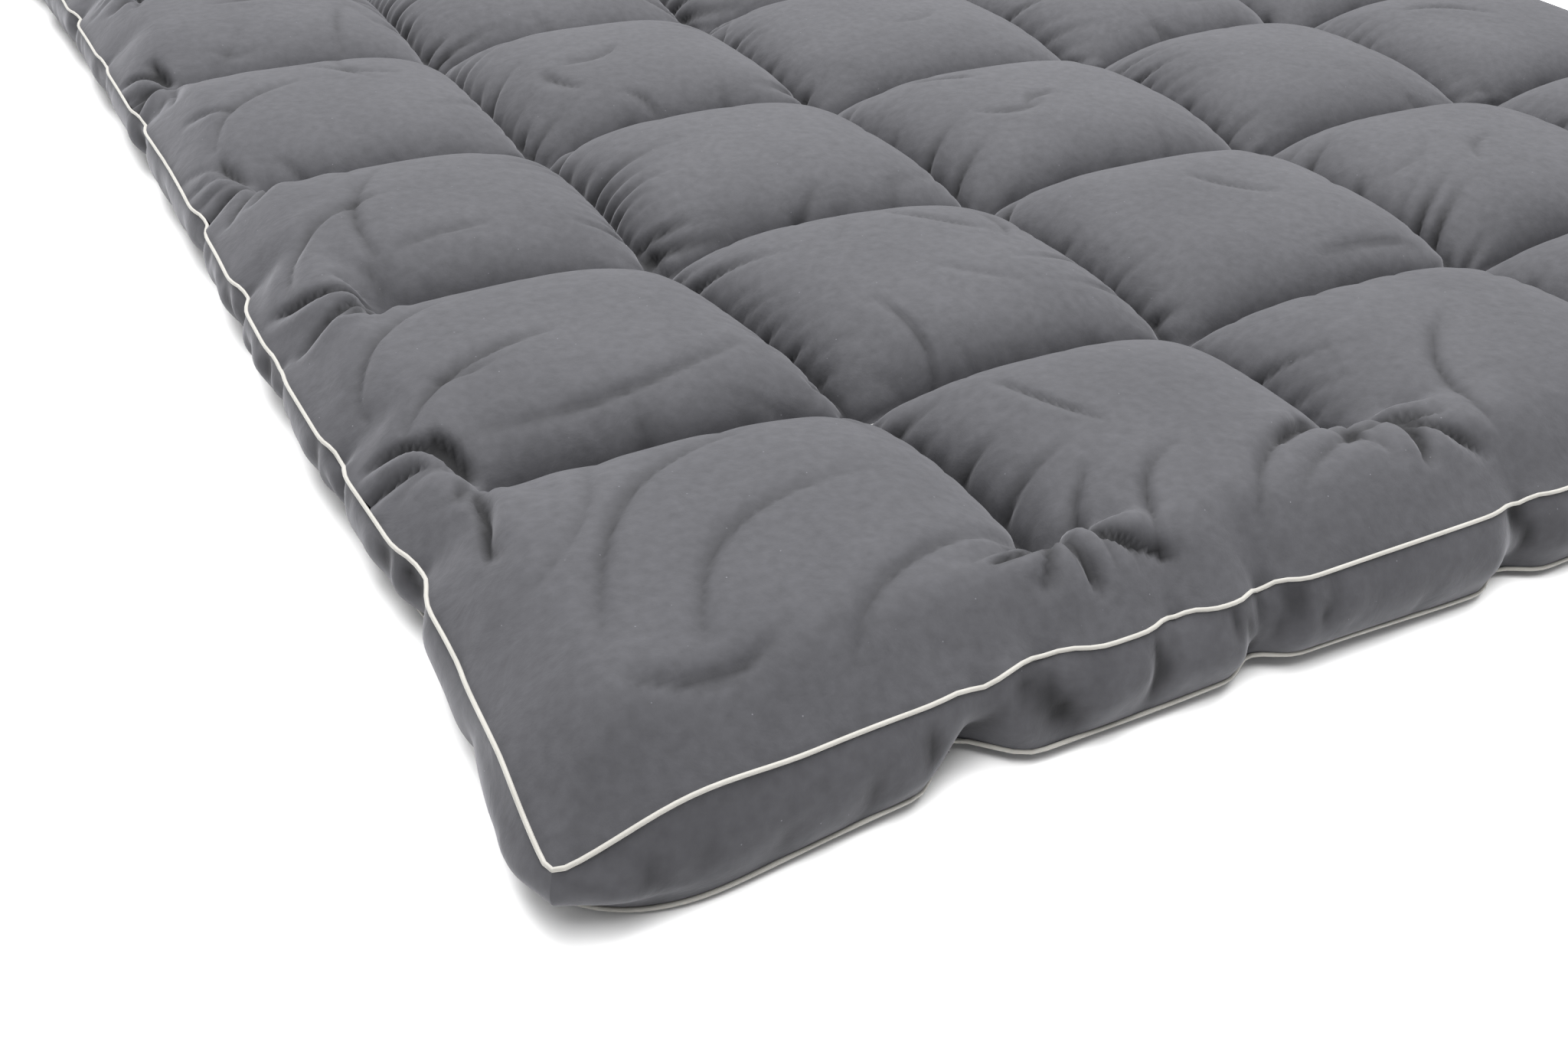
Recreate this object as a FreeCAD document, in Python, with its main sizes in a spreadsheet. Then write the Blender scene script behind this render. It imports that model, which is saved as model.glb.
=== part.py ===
"""Quilted box-edge futon mattress: a cloth cover with two pipings, inner cloth baffles that
divide it into pockets, one portion of fill in each pocket, and an elastic strap at each corner.

Millimetres. +X runs across the mattress to its right, +Y along it to its back, +Z up. The origin
is at the middle of the underside, which lies flat on the floor.
"""

import FreeCAD, Part
import os
import PartDesign
import Sketcher

doc = FreeCAD.newDocument("futon_mattress")

# ---------------------------------------------------------------------------------------------
# Sizes. Each row is an alias, its value in millimetres (or a count) and what it measures.
# ---------------------------------------------------------------------------------------------
SIZES = (
    ("overall_width", 1400, "cover, from side to side"),
    ("overall_length", 2000, "cover, from front to back"),
    ("gusset_height", 48, "side strip between its two seams"),
    ("top_roll", 30, "rise of the top panel from its side seam to the crown of a pocket"),
    ("bottom_roll", 12, "height of the bottom side seam above the floor"),
    ("corner_radius", 36, "rounding of the four upright corners"),
    ("pockets_across", 5, "pockets in one row"),
    ("pockets_along", 8, "pockets in one column"),
    ("quilt_gap", 2, "width of the bottom of a quilted groove"),
    ("quilt_shallow", 5, "the quilting on top lies this much higher than the side seam"),
    ("quilt_below", 7, "depth of the quilted grooves of the underside"),
    ("quilt_straight", 1, "upright part at the bottom of a groove"),
    ("seam_end_gap", 70, "quilting and baffles stop this far from the side"),
    ("cloth", 1, "cover cloth with its lining"),
    ("clearance", 0.3, "gap between soft pieces that lie against each other"),
    ("baffle_cloth", 0.6, "thickness of a baffle"),
    ("baffle_gap", 14, "crosswise baffles stop this far from a lengthwise one"),
    ("piping_outside", 4.2, "outer diameter of a piping"),
    ("piping_cord", 2.8, "diameter of the filler cord in a piping"),
    ("piping_room", 0.1, "room round the filler cord in its tape"),
    ("strap_reach", 170, "corner to the sewn end of a strap, along the side"),
    ("strap_bow", 60, "slack of a strap, at its middle"),
    ("strap_width", 25, "width of a strap"),
    ("strap_cloth", 1.5, "thickness of a strap with its casing"),
    ("strap_room", 1.5, "room around a strap in the dent it makes in the underside"),
)

sheet = doc.addObject("Spreadsheet::Sheet", "Sizes")
for row, (alias, value, meaning) in enumerate(SIZES, start=1):
    sheet.set(f"A{row}", alias)
    sheet.set(f"B{row}", str(value))
    sheet.set(f"C{row}", meaning)
    sheet.setAlias(f"B{row}", alias)
doc.recompute()


def worked_out(text):
    """An expression in which every alias is read from the sheet."""
    for alias in sorted((name for name, _, _ in SIZES), key=len, reverse=True):
        text = text.replace(f"<{alias}>", f"Sizes.{alias}")
    return text


HEIGHT = "(<bottom_roll> + <gusset_height> + <top_roll>)"
TOP_SEAM = "(<bottom_roll> + <gusset_height>)"
MIDDLE = "(<bottom_roll> + <gusset_height> / 2)"
PITCH_ACROSS = "(<overall_width> / <pockets_across>)"
PITCH_ALONG = "(<overall_length> / <pockets_along>)"
QUILT_TOP = "(<top_roll> - <quilt_shallow>)"
HALF_GAP = "(<quilt_gap> / 2)"


def bind(thing, prop, text):
    thing.setExpression(prop, worked_out(text))


# ---------------------------------------------------------------------------------------------
# Sketches
# ---------------------------------------------------------------------------------------------
def origin_feature(body, role):
    """One of a body's own origin planes or axes."""
    return next(f for f in body.Origin.OriginFeatures if f.Role == role)


def add_sketch(body, name, role, offset=("0", "0", "0")):
    """A sketch on one of the body's own planes, moved by three expressions."""
    sketch = body.newObject("Sketcher::SketchObject", name)
    sketch.AttachmentSupport = (origin_feature(body, role), [""])
    sketch.MapMode = "FlatFace"
    for axis, text in zip("xyz", offset):
        bind(sketch, f"AttachmentOffset.Base.{axis}", text)
    doc.recompute()
    return sketch


def draw_outline(sketch, corners):
    """A closed outline. Each corner is (x, y, edge), where edge leads to the next corner: None for
    a straight edge, or (centre x, centre y, radius, turn) for an arc, with turn 1 if it runs
    anticlockwise."""
    def number(text):
        return float(sketch.evalExpression(worked_out(text)))

    def point(corner):
        return FreeCAD.Vector(number(corner[0]), number(corner[1]), 0)

    starts = []
    for i, corner in enumerate(corners):
        here, there = point(corner), point(corners[(i + 1) % len(corners)])
        if corner[2] is None:
            index = sketch.addGeometry(Part.LineSegment(here, there), False)
            starts.append((index, 1, 2))
            continue
        centre_x, centre_y, radius, turn = corner[2]
        centre = FreeCAD.Vector(number(centre_x), number(centre_y), 0)
        first, last = (here, there) if turn > 0 else (there, here)
        circle = Part.Circle(centre, FreeCAD.Vector(0, 0, 1), number(radius))
        arc = Part.ArcOfCircle(circle, circle.parameter(first), circle.parameter(last))
        index = sketch.addGeometry(arc, False)
        starts.append((index, 1, 2) if turn > 0 else (index, 2, 1))
    for i, corner in enumerate(corners):
        index, start, _ = starts[i]
        before, _, end = starts[i - 1]
        sketch.addConstraint(Sketcher.Constraint("Coincident", before, end, index, start))
        for kind, text in (("DistanceX", corner[0]), ("DistanceY", corner[1])):
            at = Sketcher.Constraint(kind, -1, 1, index, start, number(text))
            bind(sketch, f"Constraints[{sketch.addConstraint(at)}]", text)
        if corner[2] is not None:
            size = Sketcher.Constraint("Radius", index, number(corner[2][2]))
            bind(sketch, f"Constraints[{sketch.addConstraint(size)}]", corner[2][2])


def rounded_rectangle(grow):
    """The cover's outline in plan, grown by an expression."""
    side, end = f"(<overall_width> / 2 + {grow})", f"(<overall_length> / 2 + {grow})"
    inner_x = "(<overall_width> / 2 - <corner_radius>)"
    inner_y = "(<overall_length> / 2 - <corner_radius>)"
    radius = f"(<corner_radius> + {grow})"
    corners = []
    for x, y in (("", "-"), ("", ""), ("-", ""), ("-", "-")):
        centre = (f"{x}{inner_x}", f"{y}{inner_y}", radius, 1)
        on_side = (f"{x}{side}", f"{y}{inner_y}")
        on_end = (f"{x}{inner_x}", f"{y}{end}")
        first, last = (on_end, on_side) if x != y else (on_side, on_end)
        corners += [(*first, centre), (*last, None)]
    return corners


# ---------------------------------------------------------------------------------------------
# Straps: each is a bow of elastic that lies under a corner. Its two sewn ends are on a line that
# crosses the corner at 45 degrees, and the bow hangs inside that line.
# ---------------------------------------------------------------------------------------------
END_LINE = "(<strap_reach> / sqrt(2))"  # corner to the line of the sewn ends
HALF_CHORD = f"({END_LINE} - <strap_width> / 2)"
BOW_RADIUS = f"(({HALF_CHORD} ^ 2 + <strap_bow> ^ 2) / (2 * <strap_bow>))"
BOW_CENTRE = f"({END_LINE} - {BOW_RADIUS} + <strap_bow>)"  # corner to the centre of the bow

CORNERS = {
    "front_left": (-1, -1),
    "front_right": (1, -1),
    "back_left": (-1, 1),
    "back_right": (1, 1),
}


def strap_outline(side_x, side_y, grow):
    """A strap in plan, grown by an expression. The ends are cut along the line that they are sewn
    on, and that cut grows too."""
    def at(inward, along):
        x = f"{side_x} * (<overall_width> / 2 - ({inward} + {along}) / sqrt(2))"
        y = f"{side_y} * (<overall_length> / 2 - ({inward} - {along}) / sqrt(2))"
        return x, y

    cut = f"({END_LINE} - {grow})"
    outer = f"({BOW_RADIUS} + <strap_width> / 2 + {grow})"
    inner = f"({BOW_RADIUS} - <strap_width> / 2 - {grow})"
    reach_out = f"sqrt({outer} ^ 2 - ({cut} - {BOW_CENTRE}) ^ 2)"
    reach_in = f"sqrt({inner} ^ 2 - ({cut} - {BOW_CENTRE}) ^ 2)"
    turn = 1 if side_x * side_y > 0 else -1
    centre = at(BOW_CENTRE, "0")
    return [
        (*at(cut, reach_out), (*centre, outer, turn)),
        (*at(cut, f"(-{reach_out})"), None),
        (*at(cut, f"(-{reach_in})"), (*centre, inner, -turn)),
        (*at(cut, reach_in), None),
    ]


def add_pad(body, name, sketch, length):
    pad = body.newObject("PartDesign::Pad", name)
    pad.Profile = sketch
    pad.Refine = False
    bind(pad, "Length", length)
    doc.recompute()
    return pad


def add_strap(place, side_x, side_y):
    body = doc.addObject("PartDesign::Body", f"strap_{place}")
    sketch = add_sketch(body, f"strap_{place}_plan", "XY_Plane", ("0", "0", "<clearance>"))
    draw_outline(sketch, strap_outline(side_x, side_y, "0"))
    add_pad(body, f"strap_{place}_cloth", sketch, "<strap_cloth>")
    return body


# ---------------------------------------------------------------------------------------------
# The quilted body. The cover's outside, its inside and the fill are the same shape, each set
# further in, so that the cloth has one thickness all over.
# ---------------------------------------------------------------------------------------------
def edges_at(feature, height):
    """Names of the edges that lie at one height."""
    names = []
    for i, edge in enumerate(feature.Shape.Edges, start=1):
        box = edge.BoundBox
        if abs(box.ZMin - height) < 1e-6 and abs(box.ZMax - height) < 1e-6:
            names.append(f"Edge{i}")
    return names


def add_edge_roll(body, name, base, height, radius):
    fillet = body.newObject("PartDesign::Fillet", name)
    fillet.Base = (base, edges_at(base, float(base.evalExpression(worked_out(height)))))
    fillet.Refine = False
    bind(fillet, "Radius", radius)
    doc.recompute()
    return fillet


def groove_profile(inset, roll, face, up):
    """Half the section of a quilted groove: a narrow bottom at the seam, then the round shoulder
    of the pocket beside it. face is the height of the pocket's own face, up is 1 on top."""
    inward, outward = ("-", "+") if up > 0 else ("+", "-")
    shoulder = f"({HALF_GAP} + {roll})"
    turn_at = f"({face} {inward} {roll})"
    radius = f"({roll} - {inset})"
    bottom = f"({HALF_GAP} + {inset})"
    low = f"({turn_at} {inward} (<quilt_straight> + {inset}))"
    skin = f"({face} {inward} {inset})"
    past = f"({face} {outward} <cloth>)"
    return shoulder, turn_at, radius, bottom, low, skin, past


def groove_section(profile, up, half):
    """The corners of the whole section, or of the half to the right of the seam."""
    shoulder, turn_at, radius, bottom, low, skin, past = profile
    right = (shoulder, turn_at, radius, -up)
    left = (f"-{shoulder}", turn_at, radius, -up)
    right_side = [
        (bottom, low, None),
        (bottom, turn_at, right),
        (shoulder, skin, None),
        (shoulder, past, None),
    ]
    if half:
        return [("0", low, None), *right_side, ("0", past, None)]
    left_side = [
        (f"-{shoulder}", past, None),
        (f"-{shoulder}", skin, left),
        (f"-{bottom}", turn_at, None),
        (f"-{bottom}", low, None),
    ]
    return right_side + left_side


def cut_grooves(body, name, inset, roll, face, up, lengthwise):
    """One direction of quilting on one side: a groove with two rounded ends, then its copies."""
    plane, axis = ("XZ_Plane", "X_Axis") if lengthwise else ("YZ_Plane", "Y_Axis")
    across = "<overall_width>" if lengthwise else "<overall_length>"
    along = "<overall_length>" if lengthwise else "<overall_width>"
    count = "<pockets_across>" if lengthwise else "<pockets_along>"
    first = f"({across} / {count} - {across} / 2)"
    reach = f"({along} / 2 - <seam_end_gap>)"
    profile = groove_profile(inset, roll, face, up)
    section = add_sketch(body, f"{name}_section", plane, (first, "0", "0"))
    draw_outline(section, groove_section(profile, up, half=False))
    groove = body.newObject("PartDesign::Pocket", name)
    groove.Profile = section
    groove.SideType = "Symmetric"
    groove.Refine = False
    bind(groove, "Length", f"2 * {reach}")
    doc.recompute()
    cuts = [groove]
    for end, sign in (("near", -1), ("far", 1)):
        # A sketch on XZ looks back along Y, and one on YZ looks along X.
        depth = f"{-sign if lengthwise else sign} * {reach}"
        half = add_sketch(body, f"{name}_{end}_section", plane, (first, "0", depth))
        draw_outline(half, groove_section(profile, up, half=True))
        turned = body.newObject("PartDesign::Groove", f"{name}_{end}_end")
        turned.Profile = half
        turned.ReferenceAxis = (half, ["V_Axis"])
        turned.Angle = 180
        turned.Reversed = (sign < 0) == lengthwise
        turned.Refine = False
        doc.recompute()
        cuts.append(turned)
    pattern = body.newObject("PartDesign::LinearPattern", f"{name}_pattern")
    pattern.Originals = cuts
    pattern.Direction = (origin_feature(body, axis), [""])
    pattern.Refine = False
    bind(pattern, "Length", f"{across} - 2 * {across} / {count}")
    bind(pattern, "Occurrences", f"{count} - 1")
    body.Tip = pattern
    doc.recompute()


def quilted_body(name, inset, sides=("top", "below")):
    """The quilted shape, whole or only its top or underside, which then reaches to mid height."""
    body = doc.addObject("PartDesign::Body", name)
    low = inset if "below" in sides else f"({MIDDLE} - {inset})"
    high = f"({HEIGHT} - {inset})" if "top" in sides else f"({MIDDLE} + {inset})"
    plan = add_sketch(body, f"{name}_plan", "XY_Plane", ("0", "0", low))
    draw_outline(plan, rounded_rectangle(f"-{inset}"))
    shape = add_pad(body, f"{name}_block", plan, f"{high} - {low}")
    if "top" in sides:
        shape = add_edge_roll(body, f"{name}_top_roll", shape, high, f"<top_roll> - {inset}")
        cut_grooves(body, f"{name}_top_lengthwise", inset, QUILT_TOP, HEIGHT, 1, True)
        cut_grooves(body, f"{name}_top_crosswise", inset, QUILT_TOP, HEIGHT, 1, False)
        shape = body.Tip
    if "below" in sides:
        add_edge_roll(body, f"{name}_bottom_roll", shape, low, f"<bottom_roll> - {inset}")
        cut_grooves(body, f"{name}_below_lengthwise", inset, "<quilt_below>", "0", -1, True)
        cut_grooves(body, f"{name}_below_crosswise", inset, "<quilt_below>", "0", -1, False)
        for place, (side_x, side_y) in CORNERS.items():
            cut_dent(body, f"{name}_dent_{place}", inset, side_x, side_y)
    return body


def cut_dent(body, name, inset, side_x, side_y):
    """The dent that a corner strap makes in the underside."""
    dent = add_sketch(body, name, "XY_Plane")
    draw_outline(dent, strap_outline(side_x, side_y, f"(<strap_room> + {inset})"))
    pocket = body.newObject("PartDesign::Pocket", f"{name}_cut")
    pocket.Profile = dent
    pocket.Reversed = True
    pocket.Refine = False
    bind(pocket, "Length", f"2 * <clearance> + <strap_cloth> + {inset}")
    doc.recompute()


# ---------------------------------------------------------------------------------------------
# Cover: top panel, bottom panel and the four strips of the gusset.
# ---------------------------------------------------------------------------------------------
def add_box(name, low, high):
    """A box between two corners, each three expressions."""
    box = doc.addObject("Part::Box", name)
    for axis, side, near, far in zip("xyz", ("Length", "Width", "Height"), low, high):
        bind(box, f"Placement.Base.{axis}", near)
        bind(box, side, f"({far}) - ({near})")
    return box


def add_common(name, base, tool):
    common = doc.addObject("Part::Common", name)
    common.Base, common.Tool = base, tool
    return common


def add_panel(name, side, low, high):
    """The cloth between the outside and the inside of one face, as far as its side seam."""
    cloth = doc.addObject("Part::Cut", f"{name}_cloth")
    cloth.Base = quilted_body(f"{name}_outside", "0", (side,))
    cloth.Tool = quilted_body(f"{name}_inside", "<cloth>", (side,))
    left, front = "-<overall_width>", "-<overall_length>"
    right, back = "<overall_width>", "<overall_length>"
    kept = add_box(f"{name}_reach", (left, front, low), (right, back, high))
    return add_common(name, cloth, kept)


def gusset_outline(length, depth):
    """A front strip in plan. It turns half of each corner, up to the upright seam there."""
    straight = f"({length} / 2 - <corner_radius>)"
    back = f"({depth} / 2 - <corner_radius>)"
    outer, inner = "<corner_radius>", "(<corner_radius> - <cloth>)"
    right = (straight, f"-{back}")
    left = (f"-{straight}", f"-{back}")

    def seam(side, radius):
        return f"{side}({straight} + {radius} / sqrt(2))", f"-({back} + {radius} / sqrt(2))"

    return [
        (*seam("-", outer), (*left, outer, 1)),
        (f"-{straight}", f"-({back} + {outer})", None),
        (straight, f"-({back} + {outer})", (*right, outer, 1)),
        (*seam("", outer), None),
        (*seam("", inner), (*right, inner, -1)),
        (straight, f"-({back} + {inner})", None),
        (f"-{straight}", f"-({back} + {inner})", (*left, inner, -1)),
        (*seam("-", inner), None),
    ]


def add_gusset(place, turned, length, depth):
    body = doc.addObject("PartDesign::Body", f"gusset_{place}")
    plan = add_sketch(body, f"gusset_{place}_plan", "XY_Plane", ("0", "0", "<bottom_roll>"))
    draw_outline(plan, gusset_outline(length, depth))
    add_pad(body, f"gusset_{place}_strip", plan, "<gusset_height>")
    body.Placement.Rotation = FreeCAD.Rotation(FreeCAD.Vector(0, 0, 1), turned)
    return body


# ---------------------------------------------------------------------------------------------
# Pipings: a filler cord in a bias tape, laid round the cover outside each side seam.
# ---------------------------------------------------------------------------------------------
def add_ring(name, seam_height, diameter):
    """A solid ring of round section along a side seam."""
    body = doc.addObject("PartDesign::Body", name)
    grow = "(<clearance> + <piping_outside> / 2)"
    path = add_sketch(body, f"{name}_path", "XY_Plane", ("0", "0", seam_height))
    draw_outline(path, rounded_rectangle(grow))
    start = "(<overall_width> / 2 - <corner_radius>)"
    section = add_sketch(body, f"{name}_section", "YZ_Plane", ("0", "0", start))
    centre = (f"-(<overall_length> / 2 + {grow})", seam_height)
    middle = [float(section.evalExpression(worked_out(text))) for text in centre]
    size = float(section.evalExpression(worked_out(diameter)))
    circle = Part.Circle(FreeCAD.Vector(*middle, 0), FreeCAD.Vector(0, 0, 1), size / 2)
    index = section.addGeometry(circle, False)
    for kind, value, text in zip(("DistanceX", "DistanceY"), middle, centre):
        at = Sketcher.Constraint(kind, -1, 1, index, 3, value)
        bind(section, f"Constraints[{section.addConstraint(at)}]", text)
    across = Sketcher.Constraint("Diameter", index, size)
    bind(section, f"Constraints[{section.addConstraint(across)}]", diameter)
    pipe = body.newObject("PartDesign::AdditivePipe", f"{name}_pipe")
    pipe.Profile = section
    pipe.Spine = (path, [])
    pipe.Refine = False
    doc.recompute()
    return body


def add_piping(place, seam_height):
    bore = "<piping_cord> + 2 * <piping_room>"
    tape = doc.addObject("Part::Cut", f"piping_{place}_tape")
    tape.Base = add_ring(f"piping_{place}_outside", seam_height, "<piping_outside>")
    tape.Tool = add_ring(f"piping_{place}_bore", seam_height, bore)
    return [tape, add_ring(f"piping_{place}_cord", seam_height, "<piping_cord>")]


# ---------------------------------------------------------------------------------------------
# Baffles: cloth walls from the bottom panel's quilting up to the top panel's.
# ---------------------------------------------------------------------------------------------
BAFFLE_FOOT = "<quilt_below> + <quilt_straight> + <cloth>"
BAFFLE_HEAD = f"{HEIGHT} - {QUILT_TOP} - <quilt_straight> - <cloth>"


def seam_line(number, pitch, size):
    """Distance of a seam from the middle of the mattress."""
    return f"({number} * {pitch} - {size} / 2)"


def add_lengthwise_baffle(number):
    middle = seam_line(number, PITCH_ACROSS, "<overall_width>")
    end = "(<overall_length> / 2 - <seam_end_gap>)"
    return add_box(
        f"lengthwise_baffle_{number}",
        (f"{middle} - <baffle_cloth> / 2", f"-{end}", BAFFLE_FOOT),
        (f"{middle} + <baffle_cloth> / 2", end, BAFFLE_HEAD),
    )


def add_crosswise_baffles(rows, columns):
    strips = []
    for row in range(1, rows):
        middle = seam_line(row, PITCH_ALONG, "<overall_length>")
        for column in range(1, columns + 1):
            left_gap = "<seam_end_gap>" if column == 1 else "<baffle_gap>"
            right_gap = "<seam_end_gap>" if column == columns else "<baffle_gap>"
            left = seam_line(column - 1, PITCH_ACROSS, "<overall_width>")
            right = seam_line(column, PITCH_ACROSS, "<overall_width>")
            strip = add_box(
                f"crosswise_strip_{row}_{column}",
                (f"{left} + {left_gap}", f"{middle} - <baffle_cloth> / 2", BAFFLE_FOOT),
                (f"{right} - {right_gap}", f"{middle} + <baffle_cloth> / 2", BAFFLE_HEAD),
            )
            strips.append(strip)
    group = doc.addObject("Part::Compound", "crosswise_baffles")
    group.Links = strips
    return group


# ---------------------------------------------------------------------------------------------
# Fill: one portion in each pocket.
# ---------------------------------------------------------------------------------------------
def add_fill(rows, columns):
    inset = "(<cloth> + <clearance>)"
    room = f"({HALF_GAP} + {inset})"
    whole = quilted_body("fill_shape", inset)
    portions = []
    for row in range(1, rows + 1):
        low_y = seam_line(row - 1, PITCH_ALONG, "<overall_length>")
        high_y = seam_line(row, PITCH_ALONG, "<overall_length>")
        low_y += "" if row == 1 else f" + {room}"
        high_y += "" if row == rows else f" - {room}"
        low, high = ("-<overall_width>", low_y, "0"), ("<overall_width>", high_y, HEIGHT)
        fill_row = add_common(f"fill_row_{row}", whole, add_box(f"pocket_row_{row}", low, high))
        for column in range(1, columns + 1):
            low_x = seam_line(column - 1, PITCH_ACROSS, "<overall_width>")
            high_x = seam_line(column, PITCH_ACROSS, "<overall_width>")
            low_x += "" if column == 1 else f" + {room}"
            high_x += "" if column == columns else f" - {room}"
            cell = add_box(f"pocket_{row}_{column}", (low_x, low_y, "0"), (high_x, high_y, HEIGHT))
            portions.append(add_common(f"fill_{row}_{column}", fill_row, cell))
    return portions


# ---------------------------------------------------------------------------------------------
# Assembly, checks and files
# ---------------------------------------------------------------------------------------------
def build():
    rows, columns = int(sheet.get("pockets_along")), int(sheet.get("pockets_across"))
    pieces = [
        add_panel("top_panel", "top", TOP_SEAM, f"2 * {HEIGHT}"),
        add_panel("bottom_panel", "below", f"-{HEIGHT}", "<bottom_roll>"),
    ]
    for place, turned, length, depth in (
        ("front", 0, "<overall_width>", "<overall_length>"),
        ("right", 90, "<overall_length>", "<overall_width>"),
        ("back", 180, "<overall_width>", "<overall_length>"),
        ("left", 270, "<overall_length>", "<overall_width>"),
    ):
        pieces.append(add_gusset(place, turned, length, depth))
    pieces += add_piping("top", TOP_SEAM) + add_piping("bottom", "<bottom_roll>")
    pieces += [add_lengthwise_baffle(number) for number in range(1, columns)]
    pieces.append(add_crosswise_baffles(rows, columns))
    pieces += add_fill(rows, columns)
    pieces += [add_strap(place, *sides) for place, sides in CORNERS.items()]
    for piece in pieces:
        piece.Label = piece.Name
    doc.recompute()
    return pieces


def check(pieces):
    failed = [o.Name for o in doc.Objects if {"Invalid", "Error"} & set(o.State)]
    failed += [p.Label for p in pieces if p.Shape.isNull() or not p.Shape.isValid()]
    if failed:
        raise RuntimeError(f"these didn't build: {sorted(set(failed))}")


parts = build()
check(parts)
os.makedirs("parts", exist_ok=True)
for part in parts:
    part.Shape.exportStep(f"parts/{part.Label}.step")
print(f"{len(parts)} pieces")
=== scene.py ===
import math

import bmesh
import bpy
import numpy as np
from mathutils import Matrix, Vector


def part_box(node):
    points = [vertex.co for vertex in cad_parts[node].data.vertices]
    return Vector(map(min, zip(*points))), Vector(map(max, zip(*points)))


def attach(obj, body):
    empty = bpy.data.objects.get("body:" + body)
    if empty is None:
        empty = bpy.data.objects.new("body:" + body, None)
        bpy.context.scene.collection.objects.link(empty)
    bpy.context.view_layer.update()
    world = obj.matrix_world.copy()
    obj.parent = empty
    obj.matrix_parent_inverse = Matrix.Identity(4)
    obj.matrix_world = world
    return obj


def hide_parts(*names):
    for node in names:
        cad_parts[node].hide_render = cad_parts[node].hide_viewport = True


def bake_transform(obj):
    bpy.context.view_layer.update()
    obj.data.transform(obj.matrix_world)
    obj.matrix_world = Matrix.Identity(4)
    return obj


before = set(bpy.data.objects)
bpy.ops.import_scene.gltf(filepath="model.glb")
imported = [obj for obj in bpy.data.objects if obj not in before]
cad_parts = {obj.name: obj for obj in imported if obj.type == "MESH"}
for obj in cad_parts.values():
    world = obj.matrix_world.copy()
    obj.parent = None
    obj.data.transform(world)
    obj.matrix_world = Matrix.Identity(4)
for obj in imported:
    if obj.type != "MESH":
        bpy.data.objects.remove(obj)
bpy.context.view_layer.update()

# ----------------------------------------------------------------------------------------------
# Cover cloth before it is sewn: a flat cut a little larger than the mattress, quilted on lines that
# stop short of the side, so that each pocket stands up crowned and gathers along its seams.
# ----------------------------------------------------------------------------------------------
BODY = "mattress"
WIDTH = 2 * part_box("gusset_right")[1][0]
LENGTH = 2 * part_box("gusset_back")[1][1]
BOTTOM_SEAM, TOP_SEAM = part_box("gusset_front")[0][2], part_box("gusset_front")[1][2]
POCKETS_ACROSS, POCKETS_ALONG = 5, 8
PITCH_ACROSS, PITCH_ALONG = WIDTH / POCKETS_ACROSS, LENGTH / POCKETS_ALONG
CLOTH_STEP = 0.0071  # distance between two points of the cloth
GUSSET_ROWS = 9
CUT_ACROSS, CUT_ALONG, CUT_UP = 1.12, 1.19, 1.30  # the flat cut, as a share of the sewn size
QUILT_HEIGHT = 0.046  # the quilting of the top panel above the floor
CROWN_HEIGHT = 0.100  # the top of a full pocket
CROSSING_DIP = 0.010  # the quilting is pulled this much lower where two lines cross
CROSSING_REACH = 0.030
TOP_CORNER, BOTTOM_CORNER = 0.005, 0.084  # rounding of the upright corners at the two side seams
FLARE = 0.007  # the bottom seam lies this far outside the top one

# Where each quilting line starts, from the front or the left, and how far before the other side it stops.
LENGTHWISE_ENDS = ((0.083, 0.075), (0.103, 0.090), (0.078, 0.070), (0.090, 0.062))
CROSSWISE_ENDS = (
    (0.062, 0.075), (0.081, 0.060), (0.053, 0.080), (0.045, 0.066),
    (0.070, 0.052), (0.058, 0.078), (0.074, 0.064),
)


def fade(distance, reach):
    """1 at no distance, falling smoothly to 0 at the reach."""
    share = np.clip(1 - np.abs(distance) / reach, 0, 1)
    return share * share * (3 - 2 * share)


def sway(along, seed, size):
    """The slow wander of a line that was sewn by hand over a full pad."""
    return size * (0.6 * np.sin(9.1 * along + 2.3 * seed) + 0.4 * np.sin(23.7 * along + 4.1 * seed))


def quilting(u, v):
    """For each point of the cut, from its front left corner: the signed distance from the nearest
    line of each direction, how fully that line is sewn there, and the line's number."""
    column = np.clip(np.round(u / PITCH_ACROSS), 1, POCKETS_ACROSS - 1).astype(int)
    row = np.clip(np.round(v / PITCH_ALONG), 1, POCKETS_ALONG - 1).astype(int)
    near, far = np.array(LENGTHWISE_ENDS)[column - 1].T
    past_lengthwise = np.maximum(near - v, v - (LENGTH - far))
    near, far = np.array(CROSSWISE_ENDS)[row - 1].T
    past_crosswise = np.maximum(near - u, u - (WIDTH - far))
    return (
        u - column * PITCH_ACROSS, past_lengthwise, column,
        v - row * PITCH_ALONG, past_crosswise, row,
    )


def round_corners(x, y, radius):
    """Turns the square corners of the plan into quarter circles."""
    past_x, past_y = np.abs(x) - (WIDTH / 2 - radius), np.abs(y) - (LENGTH / 2 - radius)
    inside = (past_x > 0) & (past_y > 0)
    shrink = np.where(inside, np.maximum(past_x, past_y) / np.maximum(np.hypot(past_x, past_y), 1e-9), 1.0)
    new_x = np.where(inside, np.sign(x) * (WIDTH / 2 - radius + past_x * shrink), x)
    new_y = np.where(inside, np.sign(y) * (LENGTH / 2 - radius + past_y * shrink), y)
    return new_x, new_y


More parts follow.
